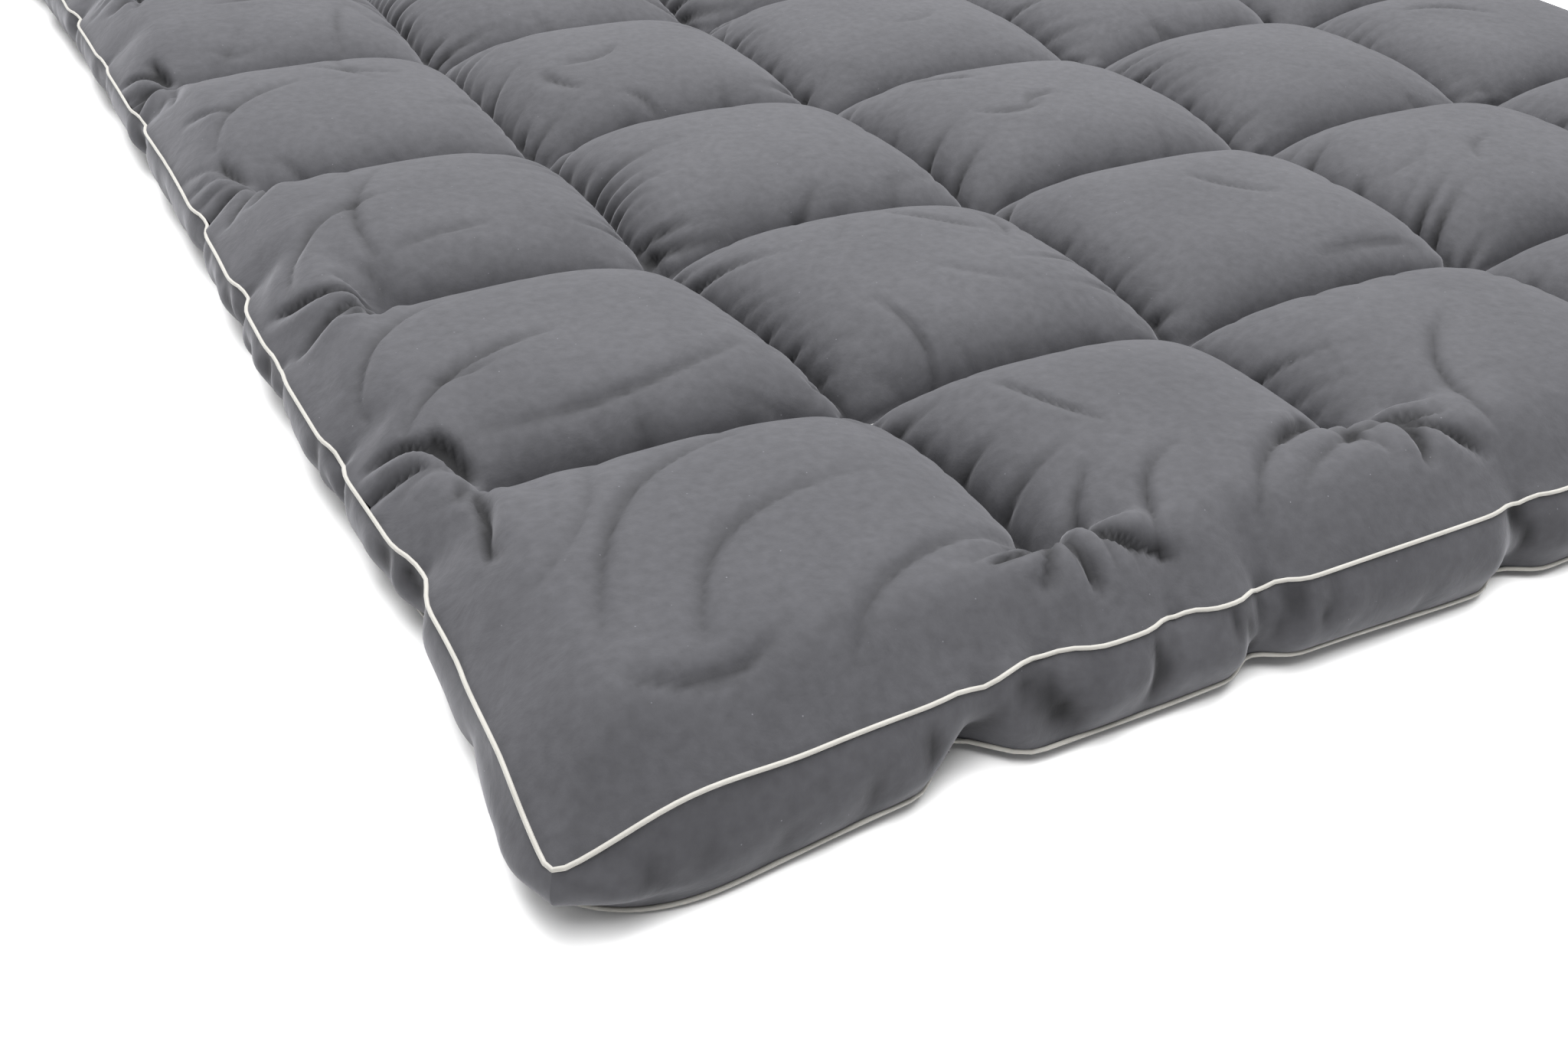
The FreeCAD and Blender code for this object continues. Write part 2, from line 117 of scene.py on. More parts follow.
# A pinch is a place where the side is drawn in: how far along the side, from its front or left end,
# then how far the top seam and the bottom seam go in there.
PINCHES = {
    "front": ((0.207, 0.004, 0.030), (0.243, 0.012, 0.000), (0.330, 0.008, 0.000), (0.407, 0.010, 0.012),
              (0.610, 0.006, 0.014), (0.800, 0.010, 0.006), (0.930, 0.006, 0.016), (1.150, 0.011, 0.010)),
    "left": ((0.206, 0.009, 0.012), (0.347, 0.006, 0.004), (0.480, 0.003, 0.012), (0.592, 0.008, 0.004),
             (0.730, 0.007, 0.014), (0.960, 0.007, 0.006), (1.120, 0.004, 0.012), (1.270, 0.008, 0.006),
             (1.490, 0.006, 0.014), (1.760, 0.008, 0.006)),
    "back": ((0.270, 0.010, 0.010), (0.540, 0.008, 0.014), (0.690, 0.009, 0.006), (0.860, 0.012, 0.012),
             (1.130, 0.010, 0.012)),
    "right": ((0.260, 0.010, 0.012), (0.490, 0.008, 0.006), (0.770, 0.012, 0.014), (1.010, 0.009, 0.006),
              (1.240, 0.008, 0.012), (1.500, 0.012, 0.008), (1.740, 0.009, 0.012)),
}
PINCH_REACH, PINCH_DEPTH = 0.030, 0.09  # along the side and into the plan
PINCH_FREE_END = 0.1  # the pinches fade out this far from a corner
TUCKED = {"front": 0.000, "left": 0.020, "back": 0.012, "right": 0.014}  # the bottom seam is turned under

# The lines and the sides don't lie straight on a full mattress. Each bend is the line's number, the
# place along it, how far the bend reaches and how far it goes to the right or the back. Each bow is
# the place along a side, its reach and how far the side stands out.
LENGTHWISE_BENDS = (
    (1, 0.16, 0.38, 0.038), (2, 0.95, 0.40, -0.010), (3, 0.55, 0.45, 0.009), (4, 1.40, 0.50, -0.012)
)
CROSSWISE_BENDS = (
    (1, 0.08, 0.30, 0.020), (1, 0.42, 0.50, 0.016), (2, 0.28, 0.40, 0.018), (3, 0.90, 0.45, -0.008),
    (5, 0.50, 0.50, 0.010), (6, 1.05, 0.40, -0.012),
)
SIDE_BOWS = {
    "left": ((0.00, 0.24, 0.020), (0.42, 0.42, 0.009), (1.60, 0.30, 0.008), (2.00, 0.20, 0.010)),
    "front": ((0.00, 0.20, 0.012), (0.55, 0.30, 0.004), (1.40, 0.22, 0.012)),
    "right": ((0.00, 0.22, 0.012), (0.90, 0.40, 0.006), (2.00, 0.22, 0.012)),
    "back": ((0.00, 0.20, 0.012), (0.70, 0.40, 0.005), (1.40, 0.20, 0.010)),
}
BEND_DEPTH, BOW_DEPTH = 0.17, 0.16  # how far into the plan a bend and a bow are felt
CORNER_DROOP, DROOP_REACH = 0.009, 0.13  # the top seam hangs lower at a corner, which holds less fill


def side_place(side, x, y):
    """For each point of the plan: its place along a side, its distance in from that side, the
    direction outwards, and whether the side runs lengthwise."""
    lengthwise = side in ("left", "right")
    outward = -1 if side in ("front", "left") else 1
    if lengthwise:
        return y + LENGTH / 2, WIDTH / 2 - outward * x, outward, True
    return x + WIDTH / 2, LENGTH / 2 - outward * y, outward, False


def laid_down(x, y):
    """The plan of the cut with its bends and bows."""
    shift_x, shift_y = np.zeros_like(x), np.zeros_like(y)
    u, v = x + WIDTH / 2, y + LENGTH / 2
    for line, place, reach, amount in LENGTHWISE_BENDS:
        shift_x += amount * fade(v - place, reach) * fade(u - line * PITCH_ACROSS, BEND_DEPTH)
    for line, place, reach, amount in CROSSWISE_BENDS:
        shift_y += amount * fade(u - place, reach) * fade(v - line * PITCH_ALONG, BEND_DEPTH)
    for side, bows in SIDE_BOWS.items():
        along, depth, outward, lengthwise = side_place(side, x, y)
        for place, reach, amount in bows:
            stands_out = outward * amount * fade(along - place, reach) * fade(depth, BOW_DEPTH)
            shift_x += stands_out * lengthwise
            shift_y += stands_out * (not lengthwise)
    return x + shift_x, y + shift_y


def side_pull(x, y, which):
    """How far each point of the plan is drawn in by the pinches, across and along. which is 1 for
    the top seam and 2 for the bottom seam."""
    pull_x, pull_y = np.zeros_like(x), np.zeros_like(y)
    for side, pinches in PINCHES.items():
        along, depth, outward, lengthwise = side_place(side, x, y)
        end = LENGTH if lengthwise else WIDTH
        by_side = fade(depth, PINCH_DEPTH) * np.clip(np.minimum(along, end - along) / PINCH_FREE_END, 0, 1)
        turned_under = TUCKED[side] * by_side * (which == 2)
        pull_x -= outward * turned_under * lengthwise
        pull_y -= outward * turned_under * (not lengthwise)
        for place, *drawn in pinches:
            amount = drawn[which - 1] * fade(along - place, PINCH_REACH) * by_side
            if lengthwise:
                pull_x -= outward * amount
            else:
                pull_y -= outward * amount
    return pull_x, pull_y


LINE_END = 0.03  # past its last stitch a line fades out over this length


def crown(u, v):
    """Height of the full cloth over its quilting, from 0 on a line to 1 on a pocket's crown."""
    across, past_lengthwise, _, along, past_crosswise, _ = quilting(u, v)
    rise_x = 1 - (1 - np.clip(np.abs(across) / (PITCH_ACROSS / 2), 0, 1)) ** 3
    rise_y = 1 - (1 - np.clip(np.abs(along) / (PITCH_ALONG / 2), 0, 1)) ** 3
    rise_x = np.maximum(rise_x, np.clip(past_lengthwise / LINE_END, 0, 1))
    rise_y = np.maximum(rise_y, np.clip(past_crosswise / LINE_END, 0, 1))
    return rise_x * rise_y


def as_points(mesh):
    points = np.empty(len(mesh.vertices) * 3)
    mesh.vertices.foreach_get("co", points)
    return points.reshape(-1, 3)


def set_points(mesh, points):
    mesh.vertices.foreach_set("co", np.asarray(points, float).ravel())
    mesh.update()


def grid_mesh(bm):
    """A flat sheet of cloth over the whole plan."""
    bmesh.ops.create_grid(
        bm,
        x_segments=POCKETS_ACROSS * round(PITCH_ACROSS / CLOTH_STEP),
        y_segments=POCKETS_ALONG * round(PITCH_ALONG / CLOTH_STEP),
        size=0.5,
    )
    bmesh.ops.scale(bm, vec=(WIDTH, LENGTH, 1), verts=bm.verts)


def mesh_of(bm, name, smooth=True):
    """The mesh of a finished bmesh."""
    for face in bm.faces:
        face.smooth = smooth
    mesh = bpy.data.meshes.new(name)
    bm.to_mesh(mesh)
    bm.free()
    return mesh


def flat_shell():
    """The top panel and, hanging from its edge, the gusset, before they are filled."""
    bm = bmesh.new()
    grid_mesh(bm)
    bmesh.ops.translate(bm, vec=(0, 0, TOP_SEAM), verts=bm.verts)
    rim = [edge for edge in bm.edges if edge.is_boundary]
    for _ in range(GUSSET_ROWS):
        grown = bmesh.ops.extrude_edge_only(bm, edges=rim)["geom"]
        lowered = [part for part in grown if isinstance(part, bmesh.types.BMVert)]
        rim = [part for part in grown if isinstance(part, bmesh.types.BMEdge)]
        bmesh.ops.translate(bm, vec=(0, 0, (BOTTOM_SEAM - TOP_SEAM) / GUSSET_ROWS), verts=lowered)
    bmesh.ops.recalc_face_normals(bm, faces=bm.faces)
    uv = bm.loops.layers.uv.new("cut")
    for face in bm.faces:
        for loop in face.loops:
            loop[uv].uv = loop.vert.co.xy
    return mesh_of(bm, "shell")


shell_mesh = flat_shell()
flat = as_points(shell_mesh)
drop = np.clip((TOP_SEAM - flat[:, 2]) / (TOP_SEAM - BOTTOM_SEAM), 0, 1)
on_top = drop < 1e-6
on_bottom_seam = drop > 1 - 1e-6
u, v = flat[:, 0] + WIDTH / 2, flat[:, 1] + LENGTH / 2
from_side = np.minimum.reduce([u, WIDTH - u, v, LENGTH - v])
from_corner = np.hypot(np.minimum(u, WIDTH - u), np.minimum(v, LENGTH - v))
across, past_lengthwise, column, along, past_crosswise, row = quilting(u, v)
sewn_lengthwise = on_top & (np.abs(across) < CLOTH_STEP / 3) & (past_lengthwise <= 0)
sewn_crosswise = on_top & (np.abs(along) < CLOTH_STEP / 3) & (past_crosswise <= 0)
sewn = sewn_lengthwise | sewn_crosswise
at_crossing = fade(np.hypot(across, along), CROSSING_REACH)


BULGE = 0.012  # the gusset stands out this far between its seams
WANDER, WANDER_REACH, WANDER_FREE_SIDE = 0.004, 0.06, 0.05  # of the quilting lines
SEAM_WANDER, SEAM_SINK = 0.004, 0.003  # of the bottom seam, up and down
QUILTED_FROM_SIDE, CROWNED_FROM_SIDE = 0.09, 0.10
START_RISE = 0.75  # the share of a crown's height that it starts from


def filled_start():
    """The shell with its pockets risen and its side drawn in, which is where the simulation starts."""
    start = flat.copy()
    radius = TOP_CORNER + (BOTTOM_CORNER - TOP_CORNER) * drop
    start[:, 0], start[:, 1] = laid_down(*round_corners(flat[:, 0], flat[:, 1], radius))
    top_x, top_y = side_pull(flat[:, 0], flat[:, 1], 1)
    low_x, low_y = side_pull(flat[:, 0], flat[:, 1], 2)
    start[:, 0] += top_x * (1 - drop) + low_x * drop
    start[:, 1] += top_y * (1 - drop) + low_y * drop
    start[:, 0] *= 1 + FLARE / (WIDTH / 2) * drop
    start[:, 1] *= 1 + FLARE / (LENGTH / 2) * drop
    bulge = BULGE * np.sin(np.pi * drop)
    start[:, 0] += bulge * np.sign(flat[:, 0]) * (np.abs(flat[:, 0]) > WIDTH / 2 - 1e-6)
    start[:, 1] += bulge * np.sign(flat[:, 1]) * (np.abs(flat[:, 1]) > LENGTH / 2 - 1e-6)
    free_side = np.clip(from_side / WANDER_FREE_SIDE, 0, 1)
    start[:, 0] += sway(v, column, WANDER) * fade(across, WANDER_REACH) * on_top * free_side
    start[:, 1] += sway(u, row + 7, WANDER) * fade(along, WANDER_REACH) * on_top * free_side
    inside = 1 - fade(from_side, QUILTED_FROM_SIDE)
    quilt_z = TOP_SEAM + (QUILT_HEIGHT - TOP_SEAM) * inside - CROSSING_DIP * at_crossing * inside
    crowned = np.sqrt(np.clip(1 - fade(from_side, CROWNED_FROM_SIDE), 0, 1))
    rise = (CROWN_HEIGHT - QUILT_HEIGHT) * START_RISE * crown(u, v) * crowned
    start[on_top, 2] = (quilt_z + rise)[on_top]
    start[:, 2] -= CORNER_DROOP * (1 - drop) * fade(from_corner, DROOP_REACH)
    start[on_bottom_seam, 2] += sway(flat[:, 0] + flat[:, 1], 3, SEAM_WANDER)[on_bottom_seam] - SEAM_SINK
    return start


PINCH_DIP = 0.006  # the top seam is pulled this much lower at a pinch
start = filled_start()
pinched = np.zeros(len(flat), bool)
for side, pinches in PINCHES.items():
    along_side, depth, _, _ = side_place(side, flat[:, 0], flat[:, 1])
    for place, *_ in pinches:
        pinched |= on_top & (depth < 1e-6) & (np.abs(along_side - place) < CLOTH_STEP * 0.7)
start[pinched, 2] -= PINCH_DIP
pinched |= on_top & (from_corner < 1e-6)


SETTLING_FRAMES = 22


def put_in_scene(name, data):
    placed = bpy.data.objects.new(name, data)
    bpy.context.scene.collection.objects.link(placed)
    return placed


def blown_up(mesh, start):
    """The shell after its fill has pushed it out. The quilting, the pinches and the bottom seam hold."""
    set_points(mesh, start)
    cloth_object = put_in_scene("shell", mesh)
    cloth_object.shape_key_add(name="sewn")
    cut = cloth_object.shape_key_add(name="cut")
    radius = TOP_CORNER + (BOTTOM_CORNER - TOP_CORNER) * drop
    cut_x, cut_y = laid_down(*round_corners(flat[:, 0], flat[:, 1], radius))
    cut_z = TOP_SEAM + (flat[:, 2] - TOP_SEAM) * CUT_UP
    cut.data.foreach_set("co", np.stack([cut_x * CUT_ACROSS, cut_y * CUT_ALONG, cut_z], 1).ravel())
    held = cloth_object.vertex_groups.new(name="held")
    held.add([int(i) for i in np.nonzero(sewn | on_bottom_seam | pinched)[0]], 1.0, "REPLACE")
    modifier = cloth_object.modifiers.new("cloth", "CLOTH")
    settings = modifier.settings
    settings.quality = 4
    settings.mass = 0.0003
    settings.tension_stiffness = settings.compression_stiffness = 40
    settings.shear_stiffness = 1
    settings.bending_stiffness = 0.0005
    settings.tension_damping = settings.compression_damping = settings.shear_damping = 5
    settings.bending_damping = 0.5
    settings.use_pressure = True
    settings.uniform_pressure_force = 3
    settings.vertex_group_mass = "held"
    settings.rest_shape_key = cut
    settings.effector_weights.gravity = 0
    modifier.collision_settings.use_collision = False
    modifier.collision_settings.use_self_collision = False
    modifier.point_cache.frame_start, modifier.point_cache.frame_end = 1, SETTLING_FRAMES
    for step in range(1, SETTLING_FRAMES + 1):
        bpy.context.scene.frame_set(step)
    settled = bpy.data.meshes.new_from_object(
        cloth_object.evaluated_get(bpy.context.evaluated_depsgraph_get())
    )
    points = as_points(settled)
    bpy.data.objects.remove(cloth_object)
    bpy.context.scene.frame_set(1)
    return points


settled = blown_up(shell_mesh.copy(), start)
settled = np.nan_to_num(settled)


PACKED_FROM_SIDE, PACKED_POWER = 0.055, 2.1
DRAW, DRAW_REACH = 0.0080, 0.022
UPRIGHT_SEAM_DEPTH = 0.002
CORNER_FULL, CORNER_FULL_AT = 0.009, 0.062  # the corner pockets are packed out to their piping
CLEAR_OF_FLOOR = 0.0005


def tightened(points):
    """The quilting thread draws both sides of a line against each other, and the crowns are packed
    rather than blown, so they are flatter on top and steeper beside the line."""
    full = CROWN_HEIGHT - QUILT_HEIGHT
    inside = (1 - fade(from_side, PACKED_FROM_SIDE)) * on_top
    height = np.clip((points[:, 2] - QUILT_HEIGHT) / full, 0, 1)
    packed = QUILT_HEIGHT + full * (1 - (1 - height) ** PACKED_POWER)
    above = points[:, 2] > QUILT_HEIGHT
    points[:, 2] += np.where(above, (packed - points[:, 2]) * inside, 0)
    for distance, past, axis in ((across, past_lengthwise, 0), (along, past_crosswise, 1)):
        sewn_here = fade(np.maximum(past, 0), LINE_END) * on_top
        size = np.abs(distance) / DRAW_REACH
        points[:, axis] -= np.sign(distance) * DRAW * size * np.exp(1 - size) * sewn_here
    points[:, 2] += CORNER_FULL * fade(from_corner - CORNER_FULL_AT, CORNER_FULL_AT) * on_top
    points[:, 2] = np.clip(points[:, 2], CLEAR_OF_FLOOR, CROWN_HEIGHT + 0.001)
    upright_seam = (from_corner < 1e-6) & ~on_top & ~on_bottom_seam
    points[upright_seam, :2] -= np.sign(points[upright_seam, :2]) * UPRIGHT_SEAM_DEPTH
    return points


settled = tightened(settled)

# ----------------------------------------------------------------------------------------------
# Cover cloth: a charcoal microfibre, plain woven from very fine yarn and brushed on its face, so it
# looks matt, catches light at a low angle and carries a little lint.
# ----------------------------------------------------------------------------------------------
MILLIMETRE = 0.001
WAVE_BAND = 2 * math.pi / 20  # how far apart the bands of a wave pattern are, in metres, at a scale of 1


def colour(hex_code):
    """Linear colour of an sRGB hex code."""
    parts = [int(hex_code[i : i + 2], 16) / 255 for i in (0, 2, 4)]
    return [(p / 12.92 if p <= 0.04045 else ((p + 0.055) / 1.055) ** 2.4) for p in parts] + [1]


def add_node(tree, kind, settings=None, **links):
    """One node. settings are its own properties and input values; links feed its inputs."""
    node = tree.nodes.new(kind)
    for name, value in (settings or {}).items():
        if name in node.inputs:
            node.inputs[name].default_value = value
        else:
            setattr(node, name, value)
    for name, source in links.items():
        tree.links.new(source, node.inputs[name.replace("_", " ")])
    return node


def new_material(name, base, roughness, **values):
    """A material with its node tree, its shader and the object's own coordinates."""
    material = bpy.data.materials.new(name)
    material.use_nodes = True
    shader = material.node_tree.nodes["Principled BSDF"]
    shader.inputs["Base Color"].default_value = colour(base)
    shader.inputs["Roughness"].default_value = roughness
    for socket, value in values.items():
        shader.inputs[socket.replace("_", " ")].default_value = value
    place = add_node(material.node_tree, "ShaderNodeTexCoord").outputs["Object"]
    return material, material.node_tree, shader, place


def brushed_microfibre():
    """Warp and weft under a brushed nap. The yarn is 0.2 mm and would not show, so the nap is drawn at
    1.1 mm. Folds are painted darker as painted shade: the deeper the fold, the closer to black."""
    material, tree, shader, place = new_material(
        "brushed_microfibre", "3c3c3e", 0.80, Sheen_Weight=0.22, Sheen_Roughness=0.40, Specular_IOR_Level=0.20
    )
    shader.inputs["Sheen Tint"].default_value = colour("d8d8de")
    broad = add_node(tree, "ShaderNodeTexNoise", {"Scale": 1 / (110 * MILLIMETRE), "Detail": 3}, Vector=place)
    nap = add_node(tree, "ShaderNodeTexNoise", {"Scale": 1 / (1.1 * MILLIMETRE), "Detail": 2}, Vector=place)
    cloudy = add_node(tree, "ShaderNodeTexNoise", {"Scale": 1 / (7 * MILLIMETRE), "Detail": 4}, Vector=place)
    shade = add_node(
        tree, "ShaderNodeMix", {"data_type": "RGBA", "A": colour("303033"), "B": colour("3e3e41")},
        Factor=broad.outputs["Fac"],
    )
    mottled = add_node(
        tree, "ShaderNodeMix", {"data_type": "RGBA", "blend_type": "OVERLAY", "Factor": 0.28},
        A=shade.outputs["Result"], B=cloudy.outputs["Fac"],
    )
    lint_spots = add_node(tree, "ShaderNodeTexVoronoi", {"Scale": 1 / (14 * MILLIMETRE)}, Vector=place)
    lint_edge = add_node(
        tree, "ShaderNodeMapRange",
        {"From Min": 0.020, "From Max": 0.036, "To Min": 0.45, "To Max": 0.0},
        Value=lint_spots.outputs["Distance"],
    )
    lint = add_node(
        tree, "ShaderNodeMix", {"data_type": "RGBA", "B": colour("74747a")},
        Factor=lint_edge.outputs["Result"], A=mottled.outputs["Result"],
    )
    # Painted shade: the base colour is darkened towards near-black where a point lies deep in a fold, a
    # pucker or a line's groove, standing in for the shadow there.
    fold = add_node(tree, "ShaderNodeAttribute", {"attribute_name": "painted_fold_shade"})
    shaded = add_node(
        tree, "ShaderNodeMix", {"data_type": "RGBA", "B": colour("0b0b0d")},
        Factor=fold.outputs["Fac"], A=lint.outputs["Result"],
    )
    tree.links.new(shaded.outputs["Result"], shader.inputs["Base Color"])
    crumple = add_node(
        tree, "ShaderNodeTexNoise",
        {"Scale": 1 / (34 * MILLIMETRE), "Detail": 4, "Roughness": 0.5, "Distortion": 0.5}, Vector=place,
    )
    crumpled = add_node(
        tree, "ShaderNodeBump", {"Distance": 3 * MILLIMETRE, "Strength": 0.45}, Height=crumple.outputs["Fac"]
    )
    napped = add_node(
        tree, "ShaderNodeBump", {"Distance": 0.12 * MILLIMETRE, "Strength": 0.5},
        Height=nap.outputs["Fac"], Normal=crumpled.outputs["Normal"],
    )
    tree.links.new(napped.outputs["Normal"], shader.inputs["Normal"])
    return material


COVER_CLOTH = brushed_microfibre()


def new_piece(name, mesh, material, body=BODY):
    piece = put_in_scene(name, mesh)
    mesh.materials.clear()
    mesh.materials.append(material)
    if body:
        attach(piece, body)
    return piece


DEEPEST_FOLD = 0.0055  # a fold this deep has the darkest shade


def paint_fold_shade(mesh, sunk):
    """Keeps how deep each point lies in a fold, which the cloth's material turns into painted shade."""
    painted_fold_shade = mesh.attributes.new("painted_fold_shade", "FLOAT", "POINT")
    painted_fold_shade.data.foreach_set("value", np.clip(sunk / DEEPEST_FOLD, 0, 1) ** 1.4)


def cover_part(name, points, sunk, keeps):
    """The part of the shell whose faces pass a test, as a mesh of its own."""
    mesh = shell_mesh.copy()
    set_points(mesh, points)
    paint_fold_shade(mesh, sunk)
    bm = bmesh.new()
    bm.from_mesh(mesh)
    bm.verts.ensure_lookup_table()
    spare = [face for face in bm.faces if not keeps(face)]
    bmesh.ops.delete(bm, geom=spare, context="FACES")
    mesh.name = name
    bm.to_mesh(mesh)
    bm.free()
    return mesh


def subdivided(mesh):
    """The mesh with one level of subdivision in it."""
    holder = put_in_scene("holder", mesh)
    smoothing = holder.modifiers.new("subdivision", "SUBSURF")
    smoothing.levels = smoothing.render_levels = 1
    smoothing.uv_smooth = "NONE"
    finer = bpy.data.meshes.new_from_object(holder.evaluated_get(bpy.context.evaluated_depsgraph_get()))
    bpy.data.objects.remove(holder)
    return finer


# ----------------------------------------------------------------------------------------------
# Top panel: the quilted face. It gathers into short puckers across the lengthwise lines, where the
# cloth is sewn with more fullness, and lies smoother along the crosswise ones.
# ----------------------------------------------------------------------------------------------
LENGTHWISE_PUCKERS = dict(spacing=0.0190, depth=0.0072, shortest=0.012, longest=0.056)
CROSSWISE_PUCKERS = dict(spacing=0.029, depth=0.0030, shortest=0.010, longest=0.040)
PUCKER_START = 0.002
GROOVE_SHADE, GROOVE_REACH = 0.0048, 0.013  # the groove of a line is shaded like a fold of this depth
HELD_REACH = 0.009  # the thread holds the cloth this far from its line, so no fold crosses it
DEEPEST_TUCK = 0.0085


def puckers(distance, past, line, run, seed, spacing, depth, shortest, longest):
    """Depth of the puckers at each point: sharp valleys across a line, each with a length, a depth
    and a slant of its own."""
    side = (distance > 0).astype(int)
    beside = np.abs(distance)
    slant = 0.5 * np.sin(7.0 * run + 1.9 * line + 3.1 * side)
    phase = (run + slant * beside) / spacing
    phase += 0.35 * np.sin(31 * run + line) + 0.9 * np.sin(9 * run + 2 * line)
    number = np.round(phase).astype(int)
    chance = np.random.default_rng(seed).random((4, 40, 400))
    key = (line * 2 + side) % 40, number % 400
    length = shortest + (longest - shortest) * chance[0][key] ** 1.7
    deep = depth * (0.15 + 1.15 * chance[1][key] ** 2)
    valley = np.clip(1 - 2 * np.abs(phase - number) / (0.75 + 0.25 * chance[2][key]), 0, 1) ** 1.6
    reach = np.exp(-((beside / length) ** 2)) * np.clip(beside / PUCKER_START, 0, 1)
    return deep * valley * reach * fade(np.maximum(past, 0), 0.02)


# Long drag lines over the border pockets: where each starts and ends on the cut, from its front left
# corner, how much it bows, and its depth. Shorter ones are scattered over the other pockets.
DRAG_LINES = (
    ((0.055, 0.070), (0.200, 0.215), 0.16, 0.0032), ((0.095, 0.045), (0.215, 0.150), 0.20, 0.0030),
    ((0.035, 0.130), (0.110, 0.220), -0.12, 0.0022), ((0.150, 0.020), (0.262, 0.085), 0.14, 0.0030),
    ((0.300, 0.020), (0.345, 0.110), 0.18, 0.0040), ((0.335, 0.012), (0.420, 0.100), 0.20, 0.0034),
    ((0.420, 0.020), (0.540, 0.090), 0.16, 0.0034), ((0.455, 0.035), (0.600, 0.070), 0.10, 0.0030),
    ((0.030, 0.300), (0.150, 0.380), 0.14, 0.0034), ((0.020, 0.345), (0.110, 0.455), 0.18, 0.0030),
    ((0.070, 0.290), (0.240, 0.330), -0.10, 0.0026), ((0.025, 0.520), (0.120, 0.640), 0.18, 0.0034),
    ((0.090, 0.530), (0.130, 0.690), 0.12, 0.0032), ((0.030, 0.800), (0.130, 0.900), 0.16, 0.0030),
    ((0.620, 0.030), (0.700, 0.150), 0.16, 0.0034), ((0.700, 0.020), (0.800, 0.110), -0.16, 0.0030),
)
SCATTERED_LINES, DRAG_WIDTH, DRAG_DEEPER = 120, 0.009, 1.5


def folded(beside, width):
    """The section of a fold: steep on one side of its line and easy on the other."""
    steep, easy = np.exp(-np.abs(beside) / (0.32 * width)), np.exp(-np.abs(beside) / width)
    return np.where(beside < 0, steep, easy) - 0.35 * np.exp(-(((beside - 1.4 * width) / (1.2 * width)) ** 2))


FANNED_LINES, FAN_SPREAD = 7, 1.25  # creases from the end of each quilting line, within this angle of it


def line_ends():
    """The end of each quilting line on the cut, and the direction in which it points."""
    for line, (near, far) in enumerate(LENGTHWISE_ENDS, start=1):
        yield line * PITCH_ACROSS, near, -math.pi / 2
        yield line * PITCH_ACROSS, LENGTH - far, math.pi / 2
    for line, (near, far) in enumerate(CROSSWISE_ENDS, start=1):
        yield near, line * PITCH_ALONG, math.pi
        yield WIDTH - far, line * PITCH_ALONG, 0


def drag_lines(cut_u, cut_v):
    """Depth of the creases that cross a pocket where its cloth is dragged, and of those that spread
    from the end of each quilting line to the side."""
    chance = np.random.default_rng(5)
    lines = list(DRAG_LINES)
    for end_u, end_v, outward in line_ends():
        turns = np.linspace(-FAN_SPREAD, FAN_SPREAD, FANNED_LINES)
        for turn in turns + chance.normal(0, 0.10, FANNED_LINES):
            heading, begin = outward + turn, chance.uniform(0.004, 0.016)
            length = chance.uniform(0.030, 0.085)
            start = end_u + begin * math.cos(heading), end_v + begin * math.sin(heading)
            end = start[0] + length * math.cos(heading), start[1] + length * math.sin(heading)
            bow = chance.uniform(-0.14, 0.14)
            lines.append((start, end, bow, 0.0015 + 0.0075 * chance.uniform(0, 1) ** 1.6))
    for _ in range(SCATTERED_LINES):
        middle_u, middle_v = chance.uniform(0.03, WIDTH - 0.03), chance.uniform(0.03, LENGTH - 0.03)
        heading, half = chance.uniform(0, math.pi), chance.uniform(0.02, 0.055)
        reach_u, reach_v = half * math.cos(heading), half * math.sin(heading)
        ends = (middle_u - reach_u, middle_v - reach_v), (middle_u + reach_u, middle_v + reach_v)
        lines.append((*ends, chance.uniform(-0.2, 0.2), chance.uniform(0.0012, 0.0032)))
    sunk = np.zeros_like(cut_u)
    for (start_u, start_v), (end_u, end_v), bow, depth in lines:
        length = math.hypot(end_u - start_u, end_v - start_v)
        ahead_u, ahead_v = (end_u - start_u) / length, (end_v - start_v) / length
        from_middle = np.hypot(cut_u - (start_u + end_u) / 2, cut_v - (start_v + end_v) / 2)
        close = np.nonzero(from_middle < length)[0]
        du, dv = cut_u[close] - start_u, cut_v[close] - start_v
        share = np.clip((du * ahead_u + dv * ahead_v) / length, 0, 1)
        beside = dv * ahead_u - du * ahead_v - bow * length * 4 * share * (1 - share)
        past_end = np.maximum(np.abs((du * ahead_u + dv * ahead_v) / length - 0.5) - 0.5, 0) * length
        taper = np.sin(math.pi * share) ** 0.6 * (past_end == 0)
        sunk[close] += DRAG_DEEPER * depth * taper * folded(beside, DRAG_WIDTH)
    return sunk


def cut_places(mesh):
    """The place on the flat cut of each point of a mesh, from the cut's front left corner."""
    loop_points = np.empty(len(mesh.loops), int)
    mesh.loops.foreach_get("vertex_index", loop_points)
    places = np.empty(len(mesh.loops) * 2)
    mesh.uv_layers["cut"].data.foreach_get("uv", places)
    found = np.empty((len(mesh.vertices), 2))
    found[loop_points] = places.reshape(-1, 2)
    return found[:, 0] + WIDTH / 2, found[:, 1] + LENGTH / 2


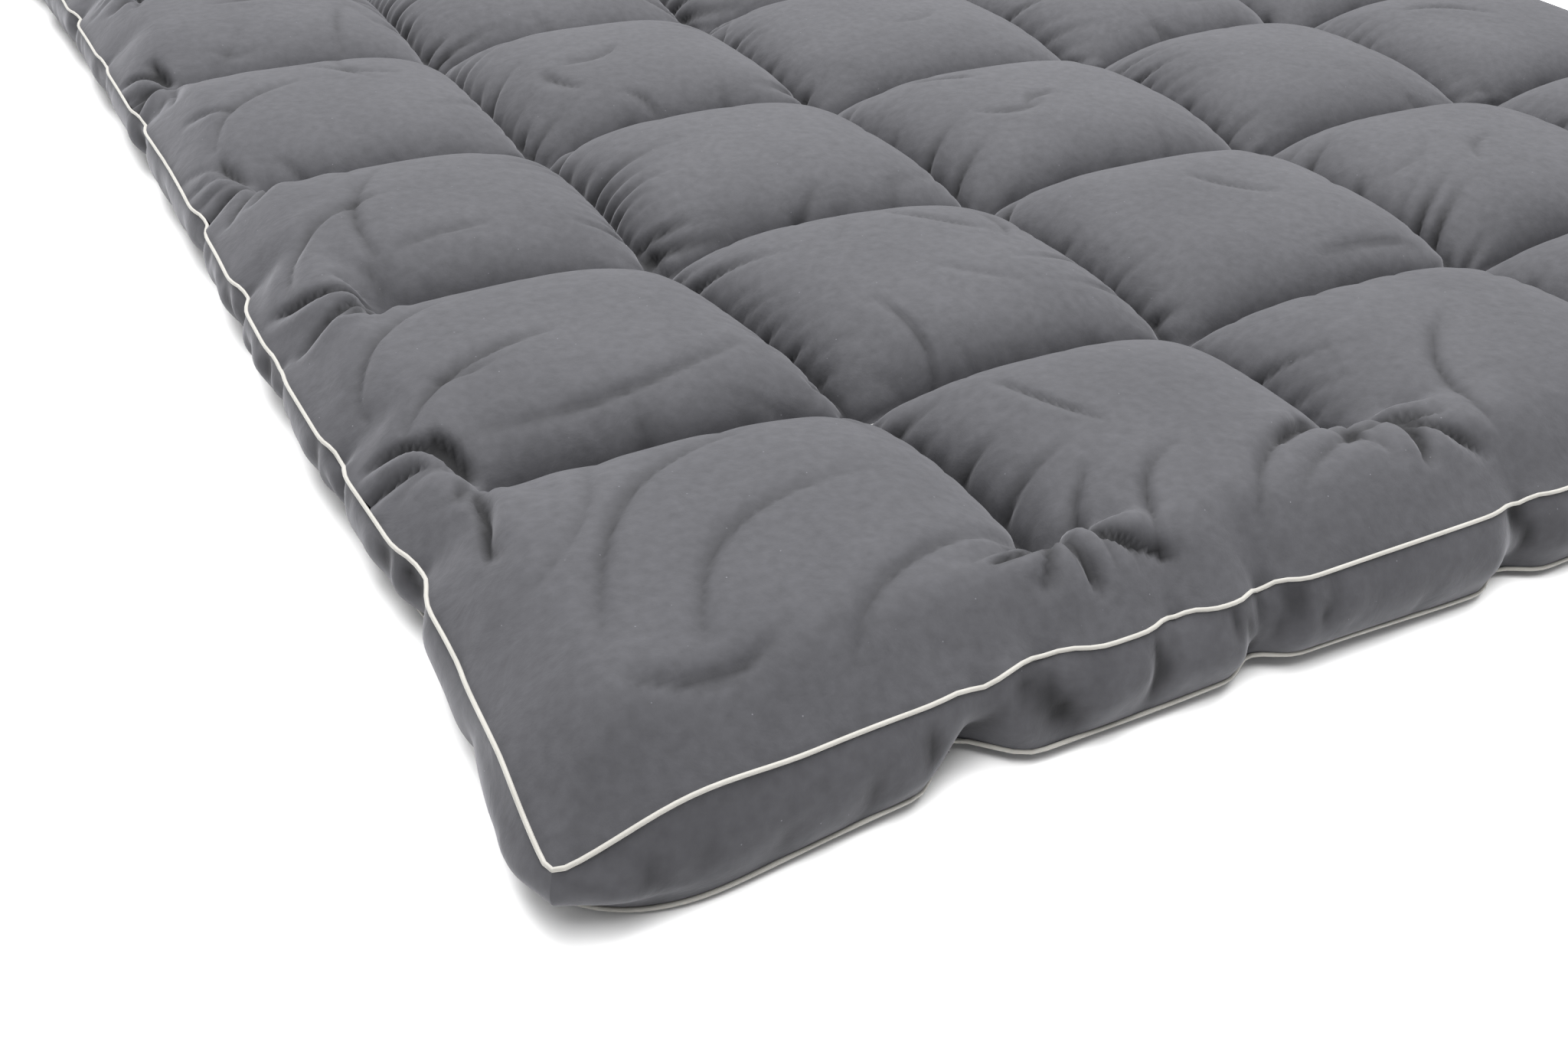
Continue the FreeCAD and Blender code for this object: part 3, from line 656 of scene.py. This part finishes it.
def gathered(mesh):
    """Sets the puckers of the quilting into the top panel."""
    cut_u, cut_v = cut_places(mesh)
    normals = np.empty(len(mesh.vertices) * 3)
    mesh.vertices.foreach_get("normal", normals)
    off_x, past_x, line_x, off_y, past_y, line_y = quilting(cut_u, cut_v)
    sunk = puckers(off_x, past_x, line_x, cut_v, 11, **LENGTHWISE_PUCKERS)
    sunk += puckers(off_y, past_y, line_y, cut_u, 12, **CROSSWISE_PUCKERS)
    sunk += drag_lines(cut_u, cut_v)
    held_x = fade(off_x, HELD_REACH) * fade(np.maximum(past_x, 0), HELD_REACH)
    held_y = fade(off_y, HELD_REACH) * fade(np.maximum(past_y, 0), HELD_REACH)
    sunk = np.minimum(sunk, DEEPEST_TUCK) * (1 - held_x) * (1 - held_y)
    points = as_points(mesh) - normals.reshape(-1, 3) * sunk[:, None]
    points[:, 2] = np.clip(points[:, 2], 0.001, CROWN_HEIGHT + 0.001)
    set_points(mesh, points)
    # Painted shade: the depth of the puckers and drag lines is kept, with a groove along each quilting line
    # added, so that the cloth is painted darker there.
    mesh.attributes.remove(mesh.attributes["painted_fold_shade"])
    sunk += GROOVE_SHADE * fade(off_x, GROOVE_REACH) * fade(np.maximum(past_x, 0), 0.02)
    sunk += 0.4 * GROOVE_SHADE * fade(off_y, GROOVE_REACH) * fade(np.maximum(past_y, 0), 0.02)
    paint_fold_shade(mesh, sunk)
    return mesh


def on_top_panel(face):
    return all(on_top[vert.index] for vert in face.verts)


unfolded = cover_part("top_cover", settled, np.zeros(len(flat)), on_top_panel)
top_mesh = gathered(subdivided(unfolded))
top_cover = new_piece("top_cover", top_mesh, COVER_CLOTH)
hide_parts("top_panel")

# ----------------------------------------------------------------------------------------------
# Gusset: four strips of the cover cloth between the two side seams, joined by an upright seam at
# each corner. They bulge between the seams and tuck in where the quilting draws the side in.
# ----------------------------------------------------------------------------------------------
def faces_side(face):
    """The side that a face of the gusset is on, or top."""
    corners = [flat[vert.index] for vert in face.verts]
    if all(abs(c[2] - TOP_SEAM) < 1e-6 for c in corners):
        return "top"
    x, y = sum(c[0] for c in corners) / 4, sum(c[1] for c in corners) / 4
    if abs(abs(x) - WIDTH / 2) < 1e-6:
        return "left" if x < 0 else "right"
    return "front" if y < 0 else "back"


FOLDS_PER_METRE, FOLD_WIDTH, FOLD_DEPTH = 40, 0.011, 0.0098


def gusset_folds():
    """The points of the gusset set in along short upright folds, more of them by the pinches."""
    outward = np.zeros_like(flat)
    sunk = np.zeros(len(flat))
    chance = np.random.default_rng(9)
    for side, pinches in PINCHES.items():
        along_side, depth, out, lengthwise = side_place(side, flat[:, 0], flat[:, 1])
        on_side = (depth < 1e-6) & ~on_top
        outward[on_side, 0 if lengthwise else 1] = out
        end = LENGTH if lengthwise else WIDTH
        places = list(chance.uniform(0.03, end - 0.03, round(FOLDS_PER_METRE * end * 0.6)))
        for place, *_ in pinches:
            places += list(place + chance.normal(0, 0.022, 5))
        for place in places:
            slant, low = chance.uniform(-0.02, 0.02), chance.uniform(0, 1)
            height = chance.uniform(0.35, 0.8)
            beside = along_side - place - slant * drop
            length = fade(drop - low, height) * np.sin(math.pi * np.clip(drop, 0, 1)) ** 0.5
            near = np.clip(np.minimum(along_side, end - along_side) / 0.04, 0, 1)
            deep = chance.uniform(0.25, 1) * FOLD_DEPTH
            sunk += np.where(on_side, deep * length * near * folded(beside, FOLD_WIDTH), 0)
    return settled - outward * sunk[:, None], sunk


# Painted shade: the depth of each upright fold is kept too, so the gusset cloth is painted darker along its
# folds.
creased, gusset_sunk = gusset_folds()
for side, run in (("front", WIDTH), ("right", LENGTH), ("back", WIDTH), ("left", LENGTH)):
    strip = cover_part(f"gusset_{side}_cover", creased, gusset_sunk, lambda f: faces_side(f) == side)
    piece = new_piece(f"gusset_{side}_cover", strip, COVER_CLOTH)
    smoothing = piece.modifiers.new("subdivision", "SUBSURF")
    smoothing.levels = smoothing.render_levels = 1
    smoothing.boundary_smooth = "PRESERVE_CORNERS"
    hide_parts(f"gusset_{side}")

# ----------------------------------------------------------------------------------------------
# Bottom panel: the same cloth, quilted on the same lines but flat, because the mattress lies on it.
# Its corners lie over the straps.
# ----------------------------------------------------------------------------------------------
UNDERSIDE_DEPTH, UNDERSIDE_REACH = 0.006, 0.035  # the quilted grooves of the underside
STRAP_ROOM, STRAP_ROOM_REACH = 0.0024, 0.30  # the panel lies this far above the floor over the straps
UNDERSIDE_TURN = 0.045  # from the seam to where the panel meets the floor
LYING = 0.0006  # the height of the panel where it lies on the floor


def bottom_sheet():
    bm = bmesh.new()
    grid_mesh(bm)
    bmesh.ops.reverse_faces(bm, faces=bm.faces)
    mesh = mesh_of(bm, "bottom_cover")
    spread = as_points(mesh)
    x, y = spread[:, 0], spread[:, 1]
    u, v = x + WIDTH / 2, y + LENGTH / 2
    side = np.minimum.reduce([u, WIDTH - u, v, LENGTH - v])
    off_x, past_x, _, off_y, past_y, _ = quilting(u, v)
    new_x, new_y = laid_down(*round_corners(x, y, np.full_like(x, BOTTOM_CORNER)))
    pull_x, pull_y = side_pull(x, y, 2)
    new_x = (new_x + pull_x) * (1 + FLARE / (WIDTH / 2))
    new_y = (new_y + pull_y) * (1 + FLARE / (LENGTH / 2))
    groove = np.maximum(
        fade(off_x, UNDERSIDE_REACH) * fade(np.maximum(past_x, 0), LINE_END),
        fade(off_y, UNDERSIDE_REACH) * fade(np.maximum(past_y, 0), LINE_END),
    )
    corner = np.hypot(WIDTH / 2 - np.abs(x), LENGTH / 2 - np.abs(y))
    seam_z = BOTTOM_SEAM + sway(x + y, 3, SEAM_WANDER) - SEAM_SINK
    new_z = np.maximum(LYING + UNDERSIDE_DEPTH * groove, STRAP_ROOM * fade(corner, STRAP_ROOM_REACH) ** 0.3)
    new_z += (seam_z - new_z) * fade(side, UNDERSIDE_TURN)
    set_points(mesh, np.stack([new_x, new_y, new_z], 1))
    return mesh


bottom_cover = new_piece("bottom_cover", bottom_sheet(), COVER_CLOTH)
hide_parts("bottom_panel")

# ----------------------------------------------------------------------------------------------
# Pipings: an off-white bias tape folded round a filler cord and caught in each side seam, so they
# follow every kink of the seam.
# ----------------------------------------------------------------------------------------------
PIPING_RADIUS, CORD_RADIUS = 0.0013, 0.0009
PIPING_STANDS_OUT = 0.0012


def seam_loop(points, chosen):
    """The points of one side seam in order round the mattress."""
    picked = np.nonzero(chosen & (from_side < 1e-6))[0]
    x, y = flat[picked, 0], flat[picked, 1]
    along_front = np.abs(y + LENGTH / 2) < 1e-6
    along_right = (np.abs(x - WIDTH / 2) < 1e-6) & ~along_front
    along_back = (np.abs(y - LENGTH / 2) < 1e-6) & ~along_right
    order = np.select(
        [along_front, along_right, along_back],
        [x + WIDTH / 2, WIDTH + y + LENGTH / 2, WIDTH + LENGTH + WIDTH / 2 - x],
        2 * WIDTH + LENGTH + LENGTH / 2 - y,
    )
    return points[picked[np.argsort(order)]]


def piping_tube(name, loop, radius):
    """A tube along a closed loop, a little outside it."""
    nearby = (np.roll(loop, 1, 0) + 2 * loop + np.roll(loop, -1, 0)) / 4
    ahead = np.roll(nearby, -2, 0) - np.roll(nearby, 2, 0)
    outward = np.stack([ahead[:, 1], -ahead[:, 0], np.zeros(len(loop))], 1)
    outward /= np.linalg.norm(outward, axis=1)[:, None]
    middle = nearby + outward * PIPING_STANDS_OUT
    curve = bpy.data.curves.new(name, "CURVE")
    curve.dimensions = "3D"
    spline = curve.splines.new("POLY")
    spline.points.add(len(middle) - 1)
    spline.points.foreach_set("co", np.hstack([middle, np.ones((len(middle), 1))]).ravel())
    spline.use_cyclic_u = True
    curve.bevel_depth = radius
    curve.bevel_resolution = 2
    holder = put_in_scene(name, curve)
    mesh = bpy.data.meshes.new_from_object(holder.evaluated_get(bpy.context.evaluated_depsgraph_get()))
    bpy.data.objects.remove(holder)
    for face in mesh.polygons:
        face.use_smooth = True
    return mesh


def bias_tape():
    """Off-white cotton satin cut on the bias: a diagonal weave of 0.45 mm, slightly soiled in its folds."""
    material, tree, shader, place = new_material("bias_tape", "8c8a85", 0.62, Sheen_Weight=0.15)
    turned = add_node(tree, "ShaderNodeMapping", {"Rotation": (0.4, 0.5, 0.8)}, Vector=place)
    weave = add_node(
        tree, "ShaderNodeTexWave", {"Scale": WAVE_BAND / (0.45 * MILLIMETRE), "Distortion": 1.2},
        Vector=turned.outputs["Vector"],
    )
    soil = add_node(tree, "ShaderNodeTexNoise", {"Scale": 1 / (17 * MILLIMETRE), "Detail": 3}, Vector=place)
    mix = add_node(
        tree, "ShaderNodeMix", {"data_type": "RGBA", "A": colour("92908b"), "B": colour("7e7c76")},
        Factor=soil.outputs["Fac"],
    )
    tree.links.new(mix.outputs["Result"], shader.inputs["Base Color"])
    woven = add_node(
        tree, "ShaderNodeBump", {"Distance": 0.1 * MILLIMETRE, "Strength": 0.6}, Height=weave.outputs["Fac"]
    )
    tree.links.new(woven.outputs["Normal"], shader.inputs["Normal"])
    return material


def twisted_cotton():
    """Filler cord: soft undyed cotton, three strands of 1.2 mm twisted together."""
    material, tree, shader, place = new_material("twisted_cotton", "e8e2d4", 0.9, Sheen_Weight=0.2)
    strands = add_node(
        tree, "ShaderNodeTexWave", {"Scale": WAVE_BAND / (1.2 * MILLIMETRE), "Distortion": 3}, Vector=place
    )
    twisted = add_node(
        tree, "ShaderNodeBump", {"Distance": 0.3 * MILLIMETRE, "Strength": 0.8}, Height=strands.outputs["Fac"]
    )
    tree.links.new(twisted.outputs["Normal"], shader.inputs["Normal"])
    return material


BIAS_TAPE, FILLER_CORD = bias_tape(), twisted_cotton()
for place, chosen in (("top", on_top), ("bottom", on_bottom_seam)):
    loop = seam_loop(settled, chosen)
    loop[:, 2] = np.maximum(loop[:, 2], PIPING_RADIUS + 0.0003)
    name = f"piping_{place}_bias_tape"
    tape = new_piece(name, piping_tube(name, loop, PIPING_RADIUS), BIAS_TAPE)
    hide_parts(f"piping_{place}_tape")
    name = f"piping_{place}_filler"
    cord = new_piece(name, piping_tube(name, loop, CORD_RADIUS), FILLER_CORD)
    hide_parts(f"piping_{place}_cord")

# ----------------------------------------------------------------------------------------------
# Quilting thread: a lockstitch in dark polyester along each line of the top panel, pulled tight so
# that it lies at the bottom of the groove.
# ----------------------------------------------------------------------------------------------
STITCH_PITCH, STITCH_LENGTH, THREAD = 0.0036, 0.0026, 0.0005


def spun_thread():
    """Two plies of polyester, twisted every 0.2 mm, with a dull shine."""
    material, tree, shader, place = new_material("spun_polyester_thread", "3b3b3f", 0.55, Sheen_Weight=0.2)
    plies = add_node(
        tree, "ShaderNodeTexWave", {"Scale": WAVE_BAND / (0.2 * MILLIMETRE), "Distortion": 1}, Vector=place
    )
    plied = add_node(
        tree, "ShaderNodeBump", {"Distance": 0.05 * MILLIMETRE, "Strength": 0.6}, Height=plies.outputs["Fac"]
    )
    tree.links.new(plied.outputs["Normal"], shader.inputs["Normal"])
    return material


def stitched_lines(name, sewn_points, numbers, run, heading):
    """One piece with the stitches of every line that runs in one direction."""
    bm = bmesh.new()
    for number in np.unique(numbers[sewn_points]):
        on_line = np.nonzero(sewn_points & (numbers == number))[0]
        on_line = on_line[np.argsort(run[on_line])]
        line, far = run[on_line], settled[on_line]
        for where in np.arange(line[0], line[-1], STITCH_PITCH):
            place = [np.interp(where, line, far[:, axis]) for axis in range(3)]
            lying = Matrix.Translation((place[0], place[1], place[2] + THREAD))
            lying = lying @ Matrix.Rotation(heading, 4, "Z")
            shape = lying @ Matrix.Diagonal((STITCH_LENGTH / 2, THREAD / 2, THREAD / 2, 1))
            bmesh.ops.create_icosphere(bm, subdivisions=1, radius=1, matrix=shape)
    return new_piece(name, mesh_of(bm, name, smooth=False), THREAD_FINISH)


THREAD_FINISH = spun_thread()
stitched_lines("quilting_thread_lengthwise", sewn_lengthwise, column, v, math.pi / 2)
stitched_lines("quilting_thread_crosswise", sewn_crosswise, row, u, 0)

# ----------------------------------------------------------------------------------------------
# Baffles: upright strips of thin white cloth from the quilting of the underside to that of the top,
# which keep the fill of each pocket in its place. The crosswise ones stop short of the lengthwise.
# ----------------------------------------------------------------------------------------------
BAFFLE_FOOT = 0.0085
BAFFLE_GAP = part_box("lengthwise_baffle_1")[1][0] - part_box("lengthwise_baffle_1")[0][0] + 0.014
COLUMNS_OF_CLOTH = POCKETS_ACROSS * round(PITCH_ACROSS / CLOTH_STEP)
ROWS_OF_CLOTH = POCKETS_ALONG * round(PITCH_ALONG / CLOTH_STEP)
top_index = np.zeros((COLUMNS_OF_CLOTH + 1, ROWS_OF_CLOTH + 1), int)
top_points = np.nonzero(on_top)[0]
top_index[
    np.round(u[top_points] / WIDTH * COLUMNS_OF_CLOTH).astype(int),
    np.round(v[top_points] / LENGTH * ROWS_OF_CLOTH).astype(int),
] = top_points


def under_top(where_u, where_v):
    """The point of the top panel over a place on the plan."""
    i = np.clip(np.round(where_u / WIDTH * COLUMNS_OF_CLOTH), 0, COLUMNS_OF_CLOTH).astype(int)
    j = np.clip(np.round(where_v / LENGTH * ROWS_OF_CLOTH), 0, ROWS_OF_CLOTH).astype(int)
    return settled[top_index[i, j]]


def thin_baffle_cloth():
    """White spunbonded cloth: random filaments in clumps of 2.4 mm, whiter where they are thick."""
    material, tree, shader, place = new_material("spunbond", "f1f1ee", 0.85)
    fibres = add_node(
        tree, "ShaderNodeTexNoise",
        {"Scale": 1 / (2.4 * MILLIMETRE), "Detail": 6, "Distortion": 2.0}, Vector=place,
    )
    tint = add_node(
        tree, "ShaderNodeMix", {"data_type": "RGBA", "A": colour("e2e2de"), "B": colour("fafaf8")},
        Factor=fibres.outputs["Fac"],
    )
    tree.links.new(tint.outputs["Result"], shader.inputs["Base Color"])
    matted = add_node(
        tree, "ShaderNodeBump", {"Distance": 0.15 * MILLIMETRE, "Strength": 0.7}, Height=fibres.outputs["Fac"]
    )
    tree.links.new(matted.outputs["Normal"], shader.inputs["Normal"])
    return material


def baffle_strip(bm, begin, end, steps, lengthwise, line):
    """A strip that hangs between the two panels, from begin to end along its line."""
    made = bmesh.ops.create_grid(bm, x_segments=steps, y_segments=5, size=0.5)["verts"]
    for vert in made:
        run, height = begin + (vert.co.x + 0.5) * (end - begin), vert.co.y + 0.5
        where = (line, run) if lengthwise else (run, line)
        head = under_top(np.array(where[0]), np.array(where[1]))
        wave = 0.0025 * math.sin(55 * run) * math.sin(math.pi * height)
        x = head[0] + wave if lengthwise else where[0] - WIDTH / 2
        y = where[1] - LENGTH / 2 if lengthwise else head[1] + wave
        vert.co = (x, y, BAFFLE_FOOT + (head[2] - 0.001 - BAFFLE_FOOT) * height)


def baffle_piece(name, bm):
    piece = new_piece(name, mesh_of(bm, name), SPUNBOND)
    return piece


SPUNBOND = thin_baffle_cloth()
for number, (near, far) in enumerate(LENGTHWISE_ENDS, start=1):
    bm = bmesh.new()
    baffle_strip(bm, near, LENGTH - far, 200, True, number * PITCH_ACROSS)
    wall = baffle_piece(f"baffle_lengthwise_{number}", bm)
    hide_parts(f"lengthwise_baffle_{number}")
bm = bmesh.new()
for line, (near, far) in enumerate(CROSSWISE_ENDS, start=1):
    for pocket in range(POCKETS_ACROSS):
        begin = near if pocket == 0 else pocket * PITCH_ACROSS + BAFFLE_GAP
        end = WIDTH - far if pocket == POCKETS_ACROSS - 1 else (pocket + 1) * PITCH_ACROSS - BAFFLE_GAP
        baffle_strip(bm, begin, end, 28, False, line * PITCH_ALONG)
wall = baffle_piece("baffles_crosswise", bm)
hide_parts("crosswise_baffles")

# ----------------------------------------------------------------------------------------------
# Fill: in each pocket a loose portion of siliconised polyester fibre, blown in, which takes the
# shape of the pocket and holds the cover up.
# ----------------------------------------------------------------------------------------------
FILL_ACROSS, FILL_ALONG, FILL_UP = 10, 9, 4
FILL_ROOM = 0.010  # the fill stays this far inside the cloth, clear of its deepest tuck
FILL_FROM_LINE, FILL_FROM_SIDE = 0.011, 0.030
FILL_FLOOR, FILL_CORNER = 0.004, 0.11


def blown_fibre():
    """White crimped fibre: tufts of 25 mm. The strands on them are drawn at 2 mm, because a fibre is too
    fine to show."""
    material, tree, shader, place = new_material("blown_fibre", "f7f7f5", 0.95, Sheen_Weight=0.3)
    tufts = add_node(
        tree, "ShaderNodeTexNoise",
        {"Scale": 1 / (25 * MILLIMETRE), "Detail": 6, "Distortion": 1.5}, Vector=place,
    )
    strands = add_node(
        tree, "ShaderNodeTexNoise",
        {"Scale": 1 / (2 * MILLIMETRE), "Detail": 4, "Distortion": 4}, Vector=place,
    )
    tint = add_node(
        tree, "ShaderNodeMix", {"data_type": "RGBA", "A": colour("e6e6e3"), "B": colour("ffffff")},
        Factor=tufts.outputs["Fac"],
    )
    tree.links.new(tint.outputs["Result"], shader.inputs["Base Color"])
    tufted = add_node(
        tree, "ShaderNodeBump", {"Distance": 4 * MILLIMETRE, "Strength": 0.6}, Height=tufts.outputs["Fac"]
    )
    crimped = add_node(
        tree, "ShaderNodeBump", {"Distance": 0.3 * MILLIMETRE, "Strength": 0.6},
        Height=strands.outputs["Fac"], Normal=tufted.outputs["Normal"],
    )
    tree.links.new(crimped.outputs["Normal"], shader.inputs["Normal"])
    return material


def portion(name, begin_u, end_u, begin_v, end_v):
    """A pillow of fibre under the top panel, between four lines of the plan."""
    bm = bmesh.new()
    bmesh.ops.create_cube(bm, size=1)
    for axis, pieces in enumerate((FILL_ACROSS, FILL_ALONG, FILL_UP)):
        across_axis = [e for e in bm.edges if abs((e.verts[0].co - e.verts[1].co)[axis]) > 1e-6]
        bmesh.ops.subdivide_edges(bm, edges=across_axis, cuts=pieces - 1, use_grid_fill=True)
    mesh = mesh_of(bm, name)
    share = as_points(mesh) + 0.5
    where_u = begin_u + share[:, 0] * (end_u - begin_u)
    where_v = begin_v + share[:, 1] * (end_v - begin_v)
    x, y = round_corners(where_u - WIDTH / 2, where_v - LENGTH / 2, np.full(len(share), FILL_CORNER))
    laid_x, laid_y = laid_down(x, y)
    top_x, top_y = side_pull(x, y, 1)
    low_x, low_y = side_pull(x, y, 2)
    upper = under_top(x + WIDTH / 2, y + LENGTH / 2)[:, 2] - FILL_ROOM
    rim = np.minimum.reduce([share[:, 0], 1 - share[:, 0], share[:, 1], 1 - share[:, 1]])
    plump = 0.45 + 0.55 * (1 - fade(rim, 0.22))
    height = FILL_FLOOR + (upper - FILL_FLOOR) * (0.5 + (share[:, 2] - 0.5) * plump)
    laid_x += top_x * share[:, 2] + 1.1 * low_x * (1 - share[:, 2])
    laid_y += top_y * share[:, 2] + 1.1 * low_y * (1 - share[:, 2])
    set_points(mesh, np.stack([laid_x, laid_y, height], 1))
    piece = new_piece(name, mesh, BLOWN_FIBRE)
    smoothing = piece.modifiers.new("subdivision", "SUBSURF")
    smoothing.levels = smoothing.render_levels = 1
    return piece


BLOWN_FIBRE = blown_fibre()
for pocket_row in range(1, POCKETS_ALONG + 1):
    for pocket in range(1, POCKETS_ACROSS + 1):
        left = FILL_FROM_SIDE if pocket == 1 else (pocket - 1) * PITCH_ACROSS + FILL_FROM_LINE
        right = WIDTH - FILL_FROM_SIDE if pocket == POCKETS_ACROSS else pocket * PITCH_ACROSS - FILL_FROM_LINE
        front = FILL_FROM_SIDE if pocket_row == 1 else (pocket_row - 1) * PITCH_ALONG + FILL_FROM_LINE
        back = pocket_row * PITCH_ALONG - FILL_FROM_LINE
        if pocket_row == POCKETS_ALONG:
            back = LENGTH - FILL_FROM_SIDE
        tuft = portion(f"fibre_{pocket_row}_{pocket}", left, right, front, back)
        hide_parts(f"fill_{pocket_row}_{pocket}")

# ----------------------------------------------------------------------------------------------
# Straps: at each corner a bow of elastic in a gathered casing of the cover cloth. Its two ends are
# sewn into the bottom seam, where a folded tab of the casing stands out.
# ----------------------------------------------------------------------------------------------
STRAP_WIDTH, STRAP_REACH, STRAP_BOW = 0.025, 0.170, 0.060
STRAP_LINE = STRAP_REACH / math.sqrt(2)
HALF_CHORD = STRAP_LINE - STRAP_WIDTH / 2
BOW_RADIUS = (HALF_CHORD ** 2 + STRAP_BOW ** 2) / (2 * STRAP_BOW)
BOW_CENTRE = STRAP_LINE - BOW_RADIUS + STRAP_BOW
BOW_TURN = math.acos((STRAP_LINE - BOW_CENTRE) / BOW_RADIUS)
CASING_THICK = 0.0006
TAB_WIDTH, TAB_REACH, TAB_PAST_STRAP, TAB_ROOT = 0.018, 0.022, 0.037, 0.006


def on_corner(side_x, side_y, inward, sideways):
    """A place on the plan, from a corner: along its diagonal and across it."""
    x = side_x * (WIDTH / 2 - (inward + sideways) / math.sqrt(2))
    y = side_y * (LENGTH / 2 - (inward - sideways) / math.sqrt(2))
    return x, y


def casing(name, bm, body=BODY):
    piece = new_piece(name, mesh_of(bm, name), COVER_CLOTH, body)
    wall = piece.modifiers.new("cloth", "SOLIDIFY")
    wall.thickness, wall.offset = CASING_THICK, 0
    return piece


for corner, (side_x, side_y) in {
    "front_left": (-1, -1), "front_right": (1, -1), "back_left": (-1, 1), "back_right": (1, 1)
}.items():
    bm = bmesh.new()
    bmesh.ops.create_grid(bm, x_segments=150, y_segments=8, size=0.5)
    for vert in bm.verts:
        turn, beside = 2 * BOW_TURN * vert.co.x, 2 * vert.co.y
        gather = math.sin(210 * vert.co.x + 1.5 * math.sin(9 * vert.co.x))
        radius = BOW_RADIUS + beside * (STRAP_WIDTH / 2 + 0.0006 * gather)
        x, y = on_corner(side_x, side_y, BOW_CENTRE + radius * math.cos(turn), radius * math.sin(turn))
        drawn_x, drawn_y = side_pull(np.array([x]), np.array([y]), 2)
        x, y = x + drawn_x[0], y + drawn_y[0]
        vert.co = (x, y, 0.0012 + 0.0004 * gather * (0.4 + 0.6 * abs(beside)))
    strap = casing(f"strap_casing_{corner}", bm, body=None)
    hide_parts(f"strap_{corner}")
    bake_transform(strap)
    for end, lengthwise in (("side", True), ("end", False)):
        bm = bmesh.new()
        bmesh.ops.create_grid(bm, x_segments=14, y_segments=12, size=0.5)
        root = STRAP_REACH + TAB_PAST_STRAP
        seam_x = side_x * (WIDTH / 2 - (0 if lengthwise else root))
        seam_y = side_y * (LENGTH / 2 - (root if lengthwise else 0))
        drawn_x, drawn_y = (float(a[0]) for a in side_pull(np.array([seam_x]), np.array([seam_y]), 2))
        for vert in bm.verts:
            beside, out = vert.co.x * TAB_WIDTH, vert.co.y + 0.5
            fold = math.sin(4 * vert.co.x * math.pi + 2 * out)
            reach = TAB_ROOT - out * TAB_REACH
            height = 0.006 + 0.012 * math.sin(math.pi * min(1, out * 1.1)) + 0.0020 * fold * out
            along_side = root + beside * (1 - 0.25 * out)
            x = side_x * (WIDTH / 2 - (reach if lengthwise else along_side))
            y = side_y * (LENGTH / 2 - (along_side if lengthwise else reach))
            x, y = x + drawn_x, y + drawn_y
            vert.co = (x, y, max(height, 0.0006))
        casing(f"strap_tab_{corner}_{end}", bm)

# ----------------------------------------------------------------------------------------------
# Room: a plain pale floor, one large soft light above and behind, and an even white surround.
# ----------------------------------------------------------------------------------------------
def pale_floor():
    """Matt white paint, which shows only the soft shadow under the side."""
    bm = bmesh.new()
    bmesh.ops.create_grid(bm, size=9)
    floor = put_in_scene("floor", mesh_of(bm, "floor", smooth=False))
    floor.data.materials.append(new_material("floor_paint", "f8f8f8", 0.9)[0])


def soft_light(name, place, aim, size, power):
    light = bpy.data.lights.new(name, "AREA")
    light.shape = "RECTANGLE"
    light.size, light.size_y = size
    light.energy = power
    lamp = put_in_scene(name, light)
    lamp.location = place
    lamp.rotation_euler = (Vector(aim) - Vector(place)).to_track_quat("-Z", "Y").to_euler()


def surround(strength):
    world = bpy.data.worlds.new("surround")
    world.use_nodes = True
    world.node_tree.nodes["Background"].inputs["Color"].default_value = (1, 1, 1, 1)
    world.node_tree.nodes["Background"].inputs["Strength"].default_value = strength
    bpy.context.scene.world = world


pale_floor()
soft_light("overhead_softbox", (0.4, 0.5, 3.0), (-0.1, -0.2, 0.0), (4.2, 3.6), 392)
soft_light("front_softbox", (-1.3, -1.8, 3.4), (-0.3, -0.5, 0.0), (2.0, 2.0), 125)
surround(0.55)

CAMERA_PLACE = Vector((-0.900, -1.520, 0.601))
CAMERA_TURN, CAMERA_DOWN, CAMERA_ROLL = math.radians(30.0), math.radians(34.0), math.radians(2.1)


def camera():
    data = bpy.data.cameras.new("camera")
    data.lens, data.sensor_width = 38.7, 36
    data.dof.use_dof = False
    holder = put_in_scene("camera", data)
    turn = Matrix.Rotation(-CAMERA_TURN, 4, "Z") @ Matrix.Rotation(math.pi / 2 - CAMERA_DOWN, 4, "X")
    holder.matrix_world = Matrix.Translation(CAMERA_PLACE) @ turn @ Matrix.Rotation(CAMERA_ROLL, 4, "Z")
    bpy.context.scene.camera = holder


camera()
bpy.context.scene.view_settings.view_transform = "Standard"
